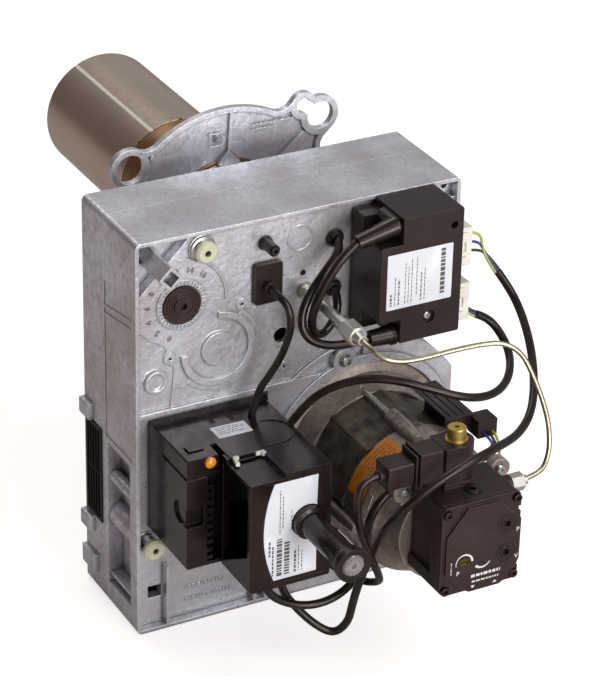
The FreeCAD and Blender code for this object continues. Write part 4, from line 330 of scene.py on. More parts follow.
ROUND_GRAIN = (0.04, 1.0, 0.04)
# A painted highlight: a narrow near-white line along the tube's upper side, at a fixed turn round its axis,
# less metallic and with a faint bump.
HIGHLIGHT_TURN = math.radians(118)
HIGHLIGHT_INNER, HIGHLIGHT_OUTER = 0.0008, 0.0022
tube, shade, rough, normal = brushed("tube_steel", tone(204, 186, 170), 0.27, grain=0.0005,
                                     stretch=ROUND_GRAIN, contrast=0.12, depth=0.000003)
spot = tube.node("SeparateXYZ", {"Vector": tube.place()})
across = tube.maths("SUBTRACT", tube.maths("MULTIPLY", spot.outputs["X"], math.sin(HIGHLIGHT_TURN)),
                    tube.maths("MULTIPLY", spot.outputs["Z"], math.cos(HIGHLIGHT_TURN)))
highlight_line = tube.span(tube.maths("ABSOLUTE", across), HIGHLIGHT_INNER, HIGHLIGHT_OUTER, 1.0, 0.0)
highlight_line = tube.maths("MULTIPLY", highlight_line, tube.span(spot.outputs["Z"], 0.0, 0.001))
shade = tube.shade(highlight_line, shade, (*tone(252, 248, 240), 1))
tube.use(Base_Color=shade, Roughness=rough, Normal=tube.relief(highlight_line, 0.0002, normal),
         Metallic=tube.span(highlight_line, 0.0, 1.0, 1.0, 0.15))
dress(tube.material, "burner_tube")
dress(as_brushed("browned_steel", tone(168, 134, 98), 0.3, stretch=ROUND_GRAIN, contrast=0.5), "tube_root")


# The motor stands in the round collar of the front casting: a cast rear bowl, a stack of
# steel laminations with streaks of lacquer, and a cast front shield, held by tie bolts.
dress(as_cast("motor_casting", tone(196, 184, 176), tone(126, 114, 108), 0.36),
      "motor_front_shield", "motor_rear_shield")
sheets = Finish("lamination", tone(140, 130, 118), 0.38, metallic=0.75)
soft, edge = sheets.edges(0.0006)
layers = sheets.node("TexWave", {"Vector": sheets.place(), "Scale": 1 / 0.0045, "Distortion": 1.2,
                                 "Detail": 2.0, "Detail Scale": 40.0}, bands_direction="Y").outputs["Fac"]
stain = sheets.clouds(0.012, 5.0)
streaks = sheets.clouds(0.004, 4.0, stretch=(1.0, 0.15, 1.0))
shade = sheets.shade(sheets.span(stain, 0.4, 0.68), sheets.colour, (*tone(84, 76, 68), 1))
shade = sheets.shade(sheets.span(streaks, 0.5, 0.72, 0.0, 0.6), shade, (*tone(62, 54, 48), 1))
shade = sheets.shade(sheets.span(layers, 0.3, 0.9, 0.0, 0.3), shade, (*tone(60, 54, 48), 1))
# Painted highlight: the rounded edges of the stack are lightened.
shade = sheets.shade(sheets.maths("MULTIPLY", edge, 0.5), shade, (*tone(170, 164, 154), 1))
dress(sheets.use(Base_Color=shade, Normal=sheets.relief(layers, 0.00012, soft)),
      "stator_stack", "rotor_core")
dress(as_brushed("zinc_steel", tone(208, 208, 204), 0.26, contrast=0.15),
      "motor_tie_bolts", "motor_shaft", "motor_bearings", "fan_wheel", "fan_inlet_ring",
      "mounting_screws", "pump_shaft", "valve_stem", "valve_armature", "locking_screws")
dress(as_brushed("copper", tone(190, 110, 70), 0.35, grain=0.0009, contrast=0.6, depth=0.0002),
      "stator_windings")


def as_moulded(name, colour, roughness, grain=0.0006, depth=0.00002, glint=0.6, clear=0.0, shine=0.5):
    """Moulded plastic with a fine texture, a little dust and a painted highlight on its edges."""
    plastic = Finish(name, colour, roughness, Coat_Weight=clear, Coat_Roughness=0.12,
                     Specular_Tint=(1.0, 0.84, 0.82, 1.0), Specular_IOR_Level=shine)
    soft, edge = plastic.edges(0.0006)
    light = tuple(v * 1.7 + 0.012 for v in colour)
    dust = plastic.clouds(0.02, 4.0)
    glint_colour = tuple(v * 2.2 + 0.04 for v in colour)
    # Painted highlight: the rounded edges are lightened, scaled by the edge setting.
    shade = plastic.shade(plastic.maths("MULTIPLY", edge, glint), plastic.colour, (*glint_colour, 1))
    shade = plastic.shade(plastic.span(dust, 0.5, 0.8, 0.0, 0.3), shade, (*light, 1))
    rough = plastic.span(dust, 0.3, 0.7, roughness - 0.05, roughness + 0.08)
    fine = plastic.relief(plastic.clouds(grain, 1.0), depth, soft)
    return plastic.use(Base_Color=shade, Roughness=rough, Normal=fine)


black_plastic = as_moulded("black_plastic", tone(30, 21, 21), 0.32)
dress(black_plastic, "capacitor_box", "drive_coupling")


# Air comes in by a black plastic grille, pressed into the left side of the rear casting. A
# moulded damper throttles it, turned by the brown dial on the front, which sits on its spindle.
dress(as_moulded("dial_brown", tone(44, 28, 26), 0.34, glint=0.7), "air_dial")
dress(as_moulded("grille_black", tone(7, 5, 5), 0.55, glint=0.2), "air_inlet_grille")
dress(black_plastic, "air_damper")


# A bright orange foil label is glued round the left of the motor's front shield. Five rows of
# plain dark bars are printed on it.
MOTOR_AXIS = from_corner(0.199, 0.0, 0.126)


def wrapped(name, radius, bands, material, thickness, steps):
    """Thin bands bent round the motor's axis; each has two depths and two angles."""
    shell = bmesh.new()
    for y0, y1, start, end in bands:
        rows = []
        for step in range(steps + 1):
            turn = math.radians(start + (end - start) * step / steps)
            rows.append([shell.verts.new((MOTOR_AXIS.x + r * math.cos(turn), from_corner(0, y, 0).y,
                                          MOTOR_AXIS.z + r * math.sin(turn)))
                         for r in (radius, radius + thickness) for y in (y0, y1)])
        for before, after in zip(rows, rows[1:]):
            for i, j in ((0, 1), (1, 3), (3, 2), (2, 0)):
                shell.faces.new((before[i], before[j], after[j], after[i]))
        for row in (rows[0], rows[-1]):
            shell.faces.new((row[0], row[1], row[3], row[2]))
    add_piece(name, close_up(name, shell), material)


orange = as_moulded("orange_foil", tone(240, 144, 24), 0.36, grain=0.002, depth=0.00001, glint=0.1)
ink = as_moulded("print_grey", tone(92, 88, 88), 0.5, glint=0.1)
LABEL_RADIUS, BARS_RADIUS = 0.05803, 0.0583
LABEL_FRONT, LABEL_BACK, LABEL_START, LABEL_END = -0.1015, -0.0795, 111, 163
wrapped("motor_label", LABEL_RADIUS, [(LABEL_FRONT, LABEL_BACK, LABEL_START, LABEL_END)], orange,
        thickness=0.00025, steps=24)
random.seed(5)
FIRST_ROW, ROWS_APART, ROW_WIDTH, BARS_APART = -0.0835, 0.0036, 0.0009, 1.6
bands = []
for row in range(5):
    y = FIRST_ROW - ROWS_APART * row
    turn = LABEL_START + 2 + 4 * random.random()
    for bar_in_row in range(5):
        reach = 2.5 + 4.5 * random.random()
        bands.append((y - ROW_WIDTH, y, turn, turn + reach))
        turn += reach + BARS_APART
wrapped("motor_label_bars", BARS_RADIUS, bands, ink, thickness=0.00008, steps=4)


# The oil pump hangs on the motor's nose: an iron body and cover plate painted dark brown,
# with plain pressure and vacuum letters, and a solenoid valve with a brass nut on top.
dress(as_moulded("pump_black", tone(41, 29, 28), 0.4, grain=0.0013, depth=0.00006, glint=1.0),
      "pump_body", "pump_cover")
dress(as_brushed("dark_steel", tone(76, 68, 66), 0.28, contrast=0.1), "pump_cover_screws", "pump_port_plugs")
dress(as_brushed("brass", tone(204, 176, 100), 0.42, stretch=(1.0, 1.0, 0.1), contrast=0.2), "coil_nut")
# The pressure screw, deep in its hole, is a darker brass than the nut.
dress(as_brushed("dark_brass", tone(120, 104, 48), 0.36, contrast=0.2), "pressure_screw")
dress(as_moulded("coil_black", tone(38, 27, 27), 0.38, glint=0.8), "solenoid_coil", "valve_plug")


def flat_shapes(name, outlines, depth):
    """Thin shapes drawn flat, one prism for each outline."""
    shell = bmesh.new()
    for outline in outlines:
        base = [shell.verts.new((x, z, 0)) for x, z in outline]
        top = [shell.verts.new((x, z, depth)) for x, z in outline]
        shell.faces.new(base[::-1])
        shell.faces.new(top)
        for i in range(len(base)):
            j = (i + 1) % len(base)
            shell.faces.new((base[i], base[j], top[j], top[i]))
    return close_up(name, shell)


def mark_front(name, outlines, depth, y, material):
    """Thin shapes, drawn in x and z from the corner, on an upright face at depth y."""
    add_piece(name, on_front(flat_shapes(name, outlines, depth), y), material)


def bent_bar(x, z, radius, width, start, end, steps=12):
    """The outline of a bar bent round a centre; its width grows towards the end."""
    outer, inner = [], []
    for step in range(steps + 1):
        turn = math.radians(start + (end - start) * step / steps)
        half = width * (0.15 + 0.35 * step / steps)
        outer.append((x + (radius + half) * math.cos(turn), z + (radius + half) * math.sin(turn)))
        inner.append((x + (radius - half) * math.cos(turn), z + (radius - half) * math.sin(turn)))
    return outer + inner[::-1]


def bar(x0, z0, x1, z1):
    """The outline of a bar between two opposite corners."""
    return [(x0, z0), (x1, z0), (x1, z1), (x0, z1)]


white_print = as_moulded("print_white", tone(226, 222, 218), 0.5, glint=0.1)
PUMP_FACE, PUMP_PRINT = -0.1905, 0.00012
arrows = [bent_bar(0.1828, 0.1273, 0.0072, 0.0020, 195, 0),
          bent_bar(0.1990, 0.1272, 0.0076, 0.0022, 330, 222),
          [(0.1895, 0.1050), (0.1935, 0.1050), (0.1915, 0.1026)],
          [(0.2090, 0.1026), (0.2130, 0.1026), (0.2110, 0.1050)]]
mark_front("pump_marks", arrows, PUMP_PRINT, PUMP_FACE, white_print)
letters = raised_text("pump_letters", ["P", "V", "P"], height=0.0052, depth=2 * PUMP_PRINT,
                      places=[(0.2292, 0.1450, 0), (0.2292, 0.1210, 0), (0.1777, 0.1190, 0)])
add_piece("pump_letters", on_front(letters, PUMP_FACE), white_print)

# Painted shade: thin near-black rings lie on the cover round the port plugs, standing for the shade in the
# recessed rings round them.
PORT_X, PORTS_Z = 0.2194, (0.15265, 0.1273)
RING_RADIUS, RING_WIDTH, RING_HEIGHT = 0.0078, 0.0020, 0.00008
rings = [bent_bar(PORT_X, z, RING_RADIUS, RING_WIDTH, start, start + 180)
         for z in PORTS_Z for start in (0, 180)]
shadow = as_moulded("painted_shade_black", tone(14, 11, 11), 0.6, glint=0.0)
mark_front("pump_port_rings", rings, RING_HEIGHT, PUMP_FACE, shadow)


def dashes(start, stop, across, width, upright=False):
    """A printed row of plain dashes of uneven length, lying level or standing upright."""
    shortest, uneven, gap = 0.0010, 0.0026, 0.0009
    row = []
    while start < stop:
        end = min(start + shortest + uneven * random.random(), stop)
        row.append(bar(across, start, across + width, end) if upright
                   else bar(start, across, end, across + width))
        start = end + gap
    return row


rows = dashes(0.1895, 0.2155, 0.1122, 0.0025) + dashes(0.1905, 0.2150, 0.1076, 0.0015)
rows += dashes(0.1195, 0.1305, 0.1712, 0.0008, upright=True)
mark_front("pump_printed_rows", rows, PUMP_PRINT, PUMP_FACE, white_print)


# The die leaves raised marks on the castings: a framed figure and two rows on the flange, and
# two rows low on the front casting. The rows are plain bars, and all stand half a
# millimetre proud.
FLANGE_FACE, FIELD_FACE, MARK_HEIGHT = 0.130, 0.0086, 0.0005
LEFT, LOW, RIGHT, HIGH, LINE = 0.1262, 0.3495, 0.1375, 0.3610, 0.0007
figure_frame = [bar(LEFT, LOW, RIGHT, LOW + LINE),
                bar(LEFT, HIGH - LINE, RIGHT, HIGH),
                bar(LEFT, LOW + LINE, LEFT + LINE, HIGH - LINE),
                bar(RIGHT - LINE, LOW + LINE, RIGHT, HIGH - LINE)]
rows = dashes(0.1645, 0.2010, 0.3612, 0.0012) + dashes(0.1655, 0.1860, 0.3572, 0.0010)
mark_front("flange_marks", figure_frame + rows, MARK_HEIGHT, FLANGE_FACE, casting)
figure = raised_text("flange_figure", ["2"], height=0.0085, depth=2 * MARK_HEIGHT,
                     places=[(0.1318, 0.3552, 0)])
add_piece("flange_figure", on_front(figure, FLANGE_FACE), dark_marks)
ROW_START, BAR_HEIGHT, BAR_GAP = 0.046, 0.0036, 0.0014
rows = []
for z, reach in ((0.0262, 0.084), (0.0150, 0.088)):
    x = ROW_START
    while x < reach:
        width = 0.0010 + 0.0018 * random.random()
        rows.append(bar(x, z, x + width, z + BAR_HEIGHT))
        x += width + BAR_GAP
mark_front("field_marks", rows, MARK_HEIGHT, FIELD_FACE, casting)


# The left side of the front casting has shallow ribs behind its front edge: one upright, two
# slanting ones near the top and one below. They are cast with it, under a millimetre proud.
def side_rib(front_y, front_z, back_y, back_z, height):
    """The outline of a rib from its front end to its back end, in depth and height."""
    return [(front_y, front_z), (back_y, back_z), (back_y, back_z + height), (front_y, front_z + height)]


RIB_START, RIB_END, RIB_HEIGHT = 0.0100, 0.0558, 0.0007
ribs = [bar(0.0560, 0.1570, 0.0572, 0.2930),
        side_rib(RIB_START, 0.2790, RIB_END, 0.2710, 0.0022),
        side_rib(RIB_START, 0.2722, RIB_END, 0.2645, 0.0016),
        side_rib(RIB_START, 0.1552, 0.0560, 0.1548, 0.0020)]
side_ribs = flat_shapes("side_ribs", ribs, RIB_HEIGHT)
facing_left = Matrix(((0, 0, -1, 0), (1, 0, 0, 0), (0, 1, 0, 0), (0, 0, 0, 1)))
side_ribs.transform(Matrix.Translation(from_corner(0, 0, 0)) @ facing_left)
add_piece("side_ribs", side_ribs, casting)


# The oil goes to the flame through a zinc-plated pipe that comes out of the casting. In the
# tube sit the preheater, the nozzle, the spark electrodes and the plate that holds the flame.
dress(as_brushed("union_zinc", tone(214, 212, 204), 0.36, contrast=0.1), "union_nuts", "nozzle_pipe")
dress(as_brushed("heater_brass", tone(198, 168, 104), 0.3, stretch=ROUND_GRAIN),
      "oil_preheater", "spray_nozzle")
dress(as_brushed("plate_steel", tone(150, 138, 126), 0.36, contrast=0.4), "baffle_plate")
dress(as_moulded("ceramic", tone(225, 220, 208), 0.25, clear=0.5), "ignition_electrodes")


# The ignition unit is a potted transformer in a black box with a white label. Two white plugs
# stand on its right side, and two high-voltage leads leave it on the left in rubber boots.
dress(as_moulded("box_black", tone(34, 25, 25), 0.38, glint=0.8), "ignition_unit")
white_plastic = as_moulded("white_plastic", tone(230, 227, 218), 0.36, glint=0.2)
dress(white_plastic, "supply_connectors")
dress(as_moulded("black_rubber", tone(24, 17, 17), 0.3, grain=0.0004, glint=0.6),
      "hv_boots", "cable_grommets", "pressure_nipple")
paper = as_moulded("label_white", tone(228, 231, 238), 0.34, grain=0.003, depth=0.00001, glint=0.0)


def rounded(corners, radius, steps=4):
    """Corners rounded by short curves, for a label's outline."""
    outline = []
    for i, corner in enumerate(corners):
        here = Vector(corner)
        before = here + (Vector(corners[i - 1]) - here).normalized() * radius
        after = here + (Vector(corners[(i + 1) % len(corners)]) - here).normalized() * radius
        for step in range(steps + 1):
            t = step / steps
            outline.append(tuple(before * (1 - t) ** 2 + here * 2 * t * (1 - t) + after * t ** 2))
    return outline


IGNITION_FACE = -0.045
LABEL_THICK, PRINT_THICK = 0.0002, 0.00006
sticker = rounded(bar(0.1915, 0.2705, 0.2495, 0.3180), 0.0012)
mark_front("ignition_label", [sticker], LABEL_THICK, IGNITION_FACE, paper)
rows = []
for x, width, low, high in ((0.1945, 0.0017, 0.2740, 0.2840), (0.1985, 0.0008, 0.2740, 0.2990),
                            (0.2015, 0.0013, 0.2740, 0.2960), (0.2075, 0.0007, 0.2740, 0.3090),
                            (0.2103, 0.0007, 0.2740, 0.3050), (0.2131, 0.0007, 0.2740, 0.3110),
                            (0.2175, 0.0007, 0.2800, 0.3120), (0.2215, 0.0010, 0.2740, 0.2980),
                            (0.2247, 0.0007, 0.2740, 0.3010), (0.2390, 0.0040, 0.2760, 0.3150)):
    rows += dashes(low, high, x, width, upright=True)
mark_front("ignition_label_bars", rows, PRINT_THICK, IGNITION_FACE - LABEL_THICK, ink)


# The burner control: a terminal base against the casting and a deep cover, moulded in black
# plastic, with an amber lamp, white paper labels and a round sleeve for the reset button.
control_black = as_moulded("control_black", tone(25, 14, 15), 0.25, glint=0.9, clear=0.2, shine=0.35)
dress(control_black, "control_base", "control_cover", "reset_sleeve")
dress(as_moulded("amber", tone(216, 138, 20), 0.2, glint=0.1, clear=0.8), "signal_lamp")


def arc(x, z, radius, start, end, steps=16):
    """Points along an arc round x and z, from one angle to another in degrees."""
    turns = [math.radians(start + (end - start) * step / steps) for step in range(steps + 1)]
    return [(x + radius * math.cos(turn), z + radius * math.sin(turn)) for turn in turns]


CONTROL_FACE = -0.1072
SLEEVE_X, SLEEVE_Z, SLEEVE_CLEAR = 0.0935, 0.1435, 0.0142
SIDE_X, SIDE_Z, SIDE_RADIUS = 0.164, 0.140, 0.1084
LABEL_LOW, LABEL_HIGH, LABEL_RIGHT = 0.0965, 0.1825, 0.1015
SIDE_STEPS = 16
curved_side = []
for step in range(SIDE_STEPS + 1):
    z = LABEL_HIGH + (LABEL_LOW - LABEL_HIGH) * step / SIDE_STEPS
    curved_side.append((SIDE_X - math.sqrt(SIDE_RADIUS ** 2 - (z - SIDE_Z) ** 2), z))
notch = arc(SLEEVE_X, SLEEVE_Z, SLEEVE_CLEAR, -58, -302)
sticker = curved_side + [(LABEL_RIGHT, LABEL_LOW)] + notch + [(LABEL_RIGHT, LABEL_HIGH)]
mark_front("control_label", [sticker], LABEL_THICK, CONTROL_FACE, paper)
rows = []
for x, width, low, high in ((0.0600, 0.0016, 0.1190, 0.1330), (0.0630, 0.0013, 0.1010, 0.1280),
                            (0.0670, 0.0045, 0.1000, 0.1330), (0.0735, 0.0045, 0.1000, 0.1290),
                            (0.0690, 0.0008, 0.1380, 0.1760), (0.0715, 0.0008, 0.1420, 0.1700),
                            (0.0790, 0.0007, 0.1380, 0.1560), (0.0820, 0.0018, 0.1000, 0.1200),
                            (0.0855, 0.0007, 0.1000, 0.1230), (0.0885, 0.0007, 0.1000, 0.1180)):
    rows += dashes(low, high, x, width, upright=True)
mark_front("control_label_bars", rows, PRINT_THICK, CONTROL_FACE - LABEL_THICK, ink)


def mark_top(name, outlines, depth, z, material):
    """Thin shapes, drawn in x and y from the corner, on a level face at height z."""
    mesh = flat_shapes(name, outlines, depth)
    mesh.transform(Matrix.Translation(from_corner(0, 0, z)))
    add_piece(name, mesh, material)


COVER_TOP = 0.190
sticker = rounded(bar(0.0515, -0.0395, 0.0808, -0.0225), 0.001)
mark_top("control_top_label", [sticker], LABEL_THICK, COVER_TOP, paper)
TOP_ROW_START = 0.0545
rows = []
for y, reach in ((-0.0262, 0.019), (-0.0290, 0.0235), (-0.0318, 0.016), (-0.0346, 0.021)):
    rows += dashes(TOP_ROW_START, TOP_ROW_START + reach, y, 0.0009)
mark_top("control_top_bars", rows, PRINT_THICK, COVER_TOP + LABEL_THICK, ink)


# The cover's top also has two hooked slots, painted as thin near-black sheets of shade on its
# face, a raised bead round the lead's entry, moulded in it, and two small white plastic clips
# that stand in the corners of its front slot.
SLOT_HEIGHT, BEAD_HEIGHT = 0.0001, 0.0008
# Painted shade: thin near-black sheets in the shape of the slots.
slots = [bar(0.0556, -0.0092, 0.0672, -0.0046), bar(0.0560, -0.0163, 0.0602, -0.0092),
         bar(0.0707, -0.0118, 0.0868, -0.0072), bar(0.0720, -0.0186, 0.0760, -0.0118)]
mark_top("cover_slot_shades", slots, SLOT_HEIGHT, COVER_TOP, shadow)
BEAD_X, BEAD_Y, BEAD_RADIUS, BEAD_HALF, BEAD_START = 0.0920, -0.0470, 0.0180, 0.0006, 0.0770
outer = arc(BEAD_X, BEAD_Y, BEAD_RADIUS + BEAD_HALF, -90, 90)
inner = arc(BEAD_X, BEAD_Y, BEAD_RADIUS - BEAD_HALF, -90, 90)
bead = ([(BEAD_START, BEAD_Y - BEAD_RADIUS - BEAD_HALF)] + outer + inner[::-1]
        + [(BEAD_START, BEAD_Y - BEAD_RADIUS + BEAD_HALF)])
mark_top("cover_bead", [bead], BEAD_HEIGHT, COVER_TOP, control_black)
CLIP_FOOT, CLIP_HEIGHT = 0.1873, 0.0030
clips = [[(0.0462, -0.0785), (0.0492, -0.0790), (0.0500, -0.0715), (0.0530, -0.0700),
          (0.0520, -0.0680), (0.0480, -0.0685)],
         [(0.0672, -0.0690), (0.0745, -0.0690), (0.0745, -0.0735), (0.0718, -0.0735),
          (0.0712, -0.0705), (0.0675, -0.0708)]]
mark_top("cover_clips", clips, CLIP_HEIGHT, CLIP_FOOT, white_plastic)


# The reset button is a hard grey lens, pressed in at the sleeve's end. Fine ribs moulded on
# its face run out from the middle and scatter the light.
dress(as_moulded("lens_grey", tone(104, 100, 100), 0.22, glint=0.3, clear=0.7), "reset_button")
FACETS_DEPTH = -0.1798
# Painted highlight: the ribs are a lighter grey than the lens they are moulded on.
facet_highlight = as_moulded("facet_highlight", tone(142, 138, 136), 0.2, glint=0.3, clear=0.7)
facets = ring_of_bars("lens_facets", facet_highlight, Bars=20, Radius=0.0050, Length=0.0056, Width=0.0009,
                      Height=0.0004)
add_piece("lens_facets", on_front(facets, FACETS_DEPTH, SLEEVE_X, SLEEVE_Z), facet_highlight,
          body="reset_key")


# The flame sensor sits behind the front casting. Its moulded black plug is pushed into the
# casting's face, and its lead leaves the plug at the front.
dress(black_plastic, "flame_sensor_plug")


# Each locking screw of the casting ends in a turned cream cap with a six-sided socket; a thin
# near-black hexagon inside each socket is painted shade.
dress(as_moulded("cream", tone(204, 204, 176), 0.3, glint=0.2), "locking_caps")
CAP_PLACES = ((0.0563, 0.3330), (0.0122, 0.0815))
CAP_FACE, SOCKET_RADIUS, SOCKET_HEIGHT = -0.0064, 0.0027, 0.0002
# Painted shade: a near-black hexagon inside each socket.
sockets = [arc(x, z, SOCKET_RADIUS, 0, 300, steps=5) for x, z in CAP_PLACES]
mark_front("cap_socket_shades", sockets, SOCKET_HEIGHT, CAP_FACE, shadow)


# Seven leads of stranded copper in a black rubber sheath. Each leaves a gland, boot or plug
# and ends in another, so that both ends are held and the middle hangs.
def bend_round(name, points, diameter, material, node):
    """A round wire, lead or pipe along a smooth line near the points."""
    curve = bpy.data.curves.new(name, "CURVE")
    curve.dimensions = "3D"
    curve.resolution_u = 12
    curve.bevel_depth = diameter / 2
    curve.bevel_resolution = 5
    curve.use_fill_caps = True
    route = [from_corner(*point) for point in points]
    spline = curve.splines.new("NURBS")
    spline.points.add(len(route) - 1)
    for point, place in zip(spline.points, route):
        point.co = (*place, 1.0)
    spline.order_u = 3
    spline.use_endpoint_u = True
    lead = bpy.data.objects.new(name, curve)
    bpy.context.scene.collection.objects.link(lead)
    curve.materials.append(material)
    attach(lead, "burner")
    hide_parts(node)
    return lead


def lay_lead(name, node, diameter, points, material):
    """A lead or pipe that is held at both ends."""
    lead = bend_round(name, points, diameter, material, node)


rubber = Finish("sheath", tone(22, 15, 15), 0.28, Specular_Tint=(1.0, 0.84, 0.82, 1.0))
dust = rubber.clouds(0.012, 4.0)
shade = rubber.shade(rubber.span(dust, 0.45, 0.75), rubber.colour, (*tone(38, 29, 29), 1))
sheath = rubber.use(Base_Color=shade, Roughness=rubber.span(dust, 0.3, 0.7, 0.24, 0.4),
                    Normal=rubber.relief(rubber.clouds(0.0009, 2.0), 0.00003))
THIN_LEAD, MAIN_LEAD, SPARK_LEAD = 0.0060, 0.0066, 0.0070
lay_lead("sensor_lead", "sensor_cable", diameter=THIN_LEAD, material=sheath, points=[
    (0.1105, -0.009, 0.2915), (0.1105, -0.021, 0.2915), (0.115, -0.03, 0.284), (0.116, -0.032, 0.27),
    (0.114, -0.03, 0.255), (0.11, -0.026, 0.239), (0.103, -0.022, 0.224), (0.095, -0.019, 0.211),
    (0.09, -0.018, 0.19)])
lay_lead("spark_lead_upper", "hv_cable_upper", diameter=SPARK_LEAD, material=sheath, points=[
    (0.171, -0.033, 0.3285), (0.1595, -0.033, 0.32), (0.1505, -0.032, 0.3075),
    (0.1435, -0.031, 0.2945), (0.1375, -0.03, 0.281), (0.1355, -0.028, 0.267), (0.1395, -0.025, 0.254),
    (0.149, -0.021, 0.2485), (0.1575, -0.018, 0.2525), (0.164, -0.016, 0.2605),
    (0.168, -0.011, 0.2685), (0.17, -0.002, 0.275)])
lay_lead("spark_lead_lower", "hv_cable_lower", diameter=SPARK_LEAD, material=sheath, points=[
    (0.183, -0.034, 0.243), (0.165, -0.034, 0.243), (0.147, -0.033, 0.245), (0.133, -0.03, 0.252),
    (0.128, -0.026, 0.263), (0.1305, -0.023, 0.275), (0.138, -0.0205, 0.2865), (0.147, -0.019, 0.297),
    (0.155, -0.018, 0.305), (0.162, -0.016, 0.311), (0.1685, -0.0105, 0.316), (0.171, -0.002, 0.3175)])
lay_lead("supply_lead", "supply_cable", diameter=MAIN_LEAD, material=sheath, points=[
    (0.293, -0.043, 0.282), (0.2995, -0.051, 0.27), (0.301, -0.066, 0.2575), (0.2965, -0.087, 0.245),
    (0.289, -0.107, 0.233), (0.279, -0.126, 0.221), (0.265, -0.144, 0.2115), (0.245, -0.159, 0.207),
    (0.221, -0.171, 0.2095), (0.196, -0.18, 0.2105), (0.171, -0.181, 0.203), (0.15, -0.177, 0.189),
    (0.1375, -0.169, 0.172), (0.1325, -0.157, 0.152), (0.132, -0.145, 0.131), (0.13, -0.136, 0.11),
    (0.127, -0.129, 0.088), (0.1265, -0.122, 0.066), (0.1275, -0.115, 0.045), (0.119, -0.108, 0.032),
    (0.106, -0.101, 0.04), (0.093, -0.094, 0.055), (0.082, -0.088, 0.072), (0.08, -0.086, 0.09)])
lay_lead("ignition_lead", "ignition_cable", diameter=MAIN_LEAD, material=sheath, points=[
    (0.28, -0.035, 0.2435), (0.29, -0.037, 0.239), (0.2975, -0.045, 0.228), (0.297, -0.061, 0.218),
    (0.287, -0.079, 0.211), (0.271, -0.094, 0.2085), (0.251, -0.104, 0.2105), (0.229, -0.106, 0.216),
    (0.207, -0.098, 0.224), (0.184, -0.087, 0.232), (0.162, -0.074, 0.234), (0.141, -0.06, 0.226),
    (0.124, -0.048, 0.211), (0.112, -0.042, 0.19)])
lay_lead("valve_lead", "valve_cable", diameter=THIN_LEAD, material=sheath, points=[
    (0.1276, -0.151, 0.197), (0.119, -0.151, 0.1965), (0.1125, -0.151, 0.19), (0.1105, -0.151, 0.177),
    (0.112, -0.151, 0.161), (0.1175, -0.151, 0.143), (0.1255, -0.1505, 0.124), (0.1335, -0.149, 0.106),
    (0.1405, -0.139, 0.093), (0.137, -0.127, 0.086), (0.129, -0.116, 0.086), (0.121, -0.106, 0.091),
    (0.1136, -0.1, 0.097)])
lay_lead("motor_lead", "motor_cable", diameter=MAIN_LEAD, material=sheath, points=[
    (0.181, -0.124, 0.1735), (0.17, -0.1255, 0.1725), (0.156, -0.1275, 0.167), (0.143, -0.128, 0.157),
    (0.1355, -0.128, 0.144), (0.1345, -0.126, 0.1285), (0.138, -0.121, 0.111), (0.1385, -0.114, 0.091),
    (0.132, -0.108, 0.073), (0.117, -0.105, 0.0625), (0.098, -0.102, 0.0605), (0.08, -0.099, 0.067),
    (0.066, -0.097, 0.078), (0.062, -0.096, 0.09)])


# The oil line is a thin steel pipe, bent by hand round the ignition unit. A nut holds one end
# in the pump and another nut the other end in the nozzle pipe.
oil_pipe = as_brushed("oil_tube", tone(186, 178, 150), 0.3, grain=0.004, contrast=0.05, depth=0.000002)
lay_lead("oil_pipe_bend", "oil_line", diameter=0.004, material=oil_pipe,
         points=[
    (0.1459, -0.082, 0.2772), (0.1459, -0.099, 0.2772), (0.152, -0.109, 0.27), (0.165, -0.114, 0.2665),
    (0.183, -0.118, 0.2675), (0.205, -0.122, 0.271), (0.227, -0.127, 0.2735), (0.245, -0.131, 0.273),
    (0.258, -0.137, 0.264), (0.2645, -0.143, 0.248), (0.271, -0.15, 0.227), (0.275, -0.156, 0.205),
    (0.2725, -0.162, 0.183), (0.261, -0.1665, 0.1705), (0.236, -0.1665, 0.1705)])


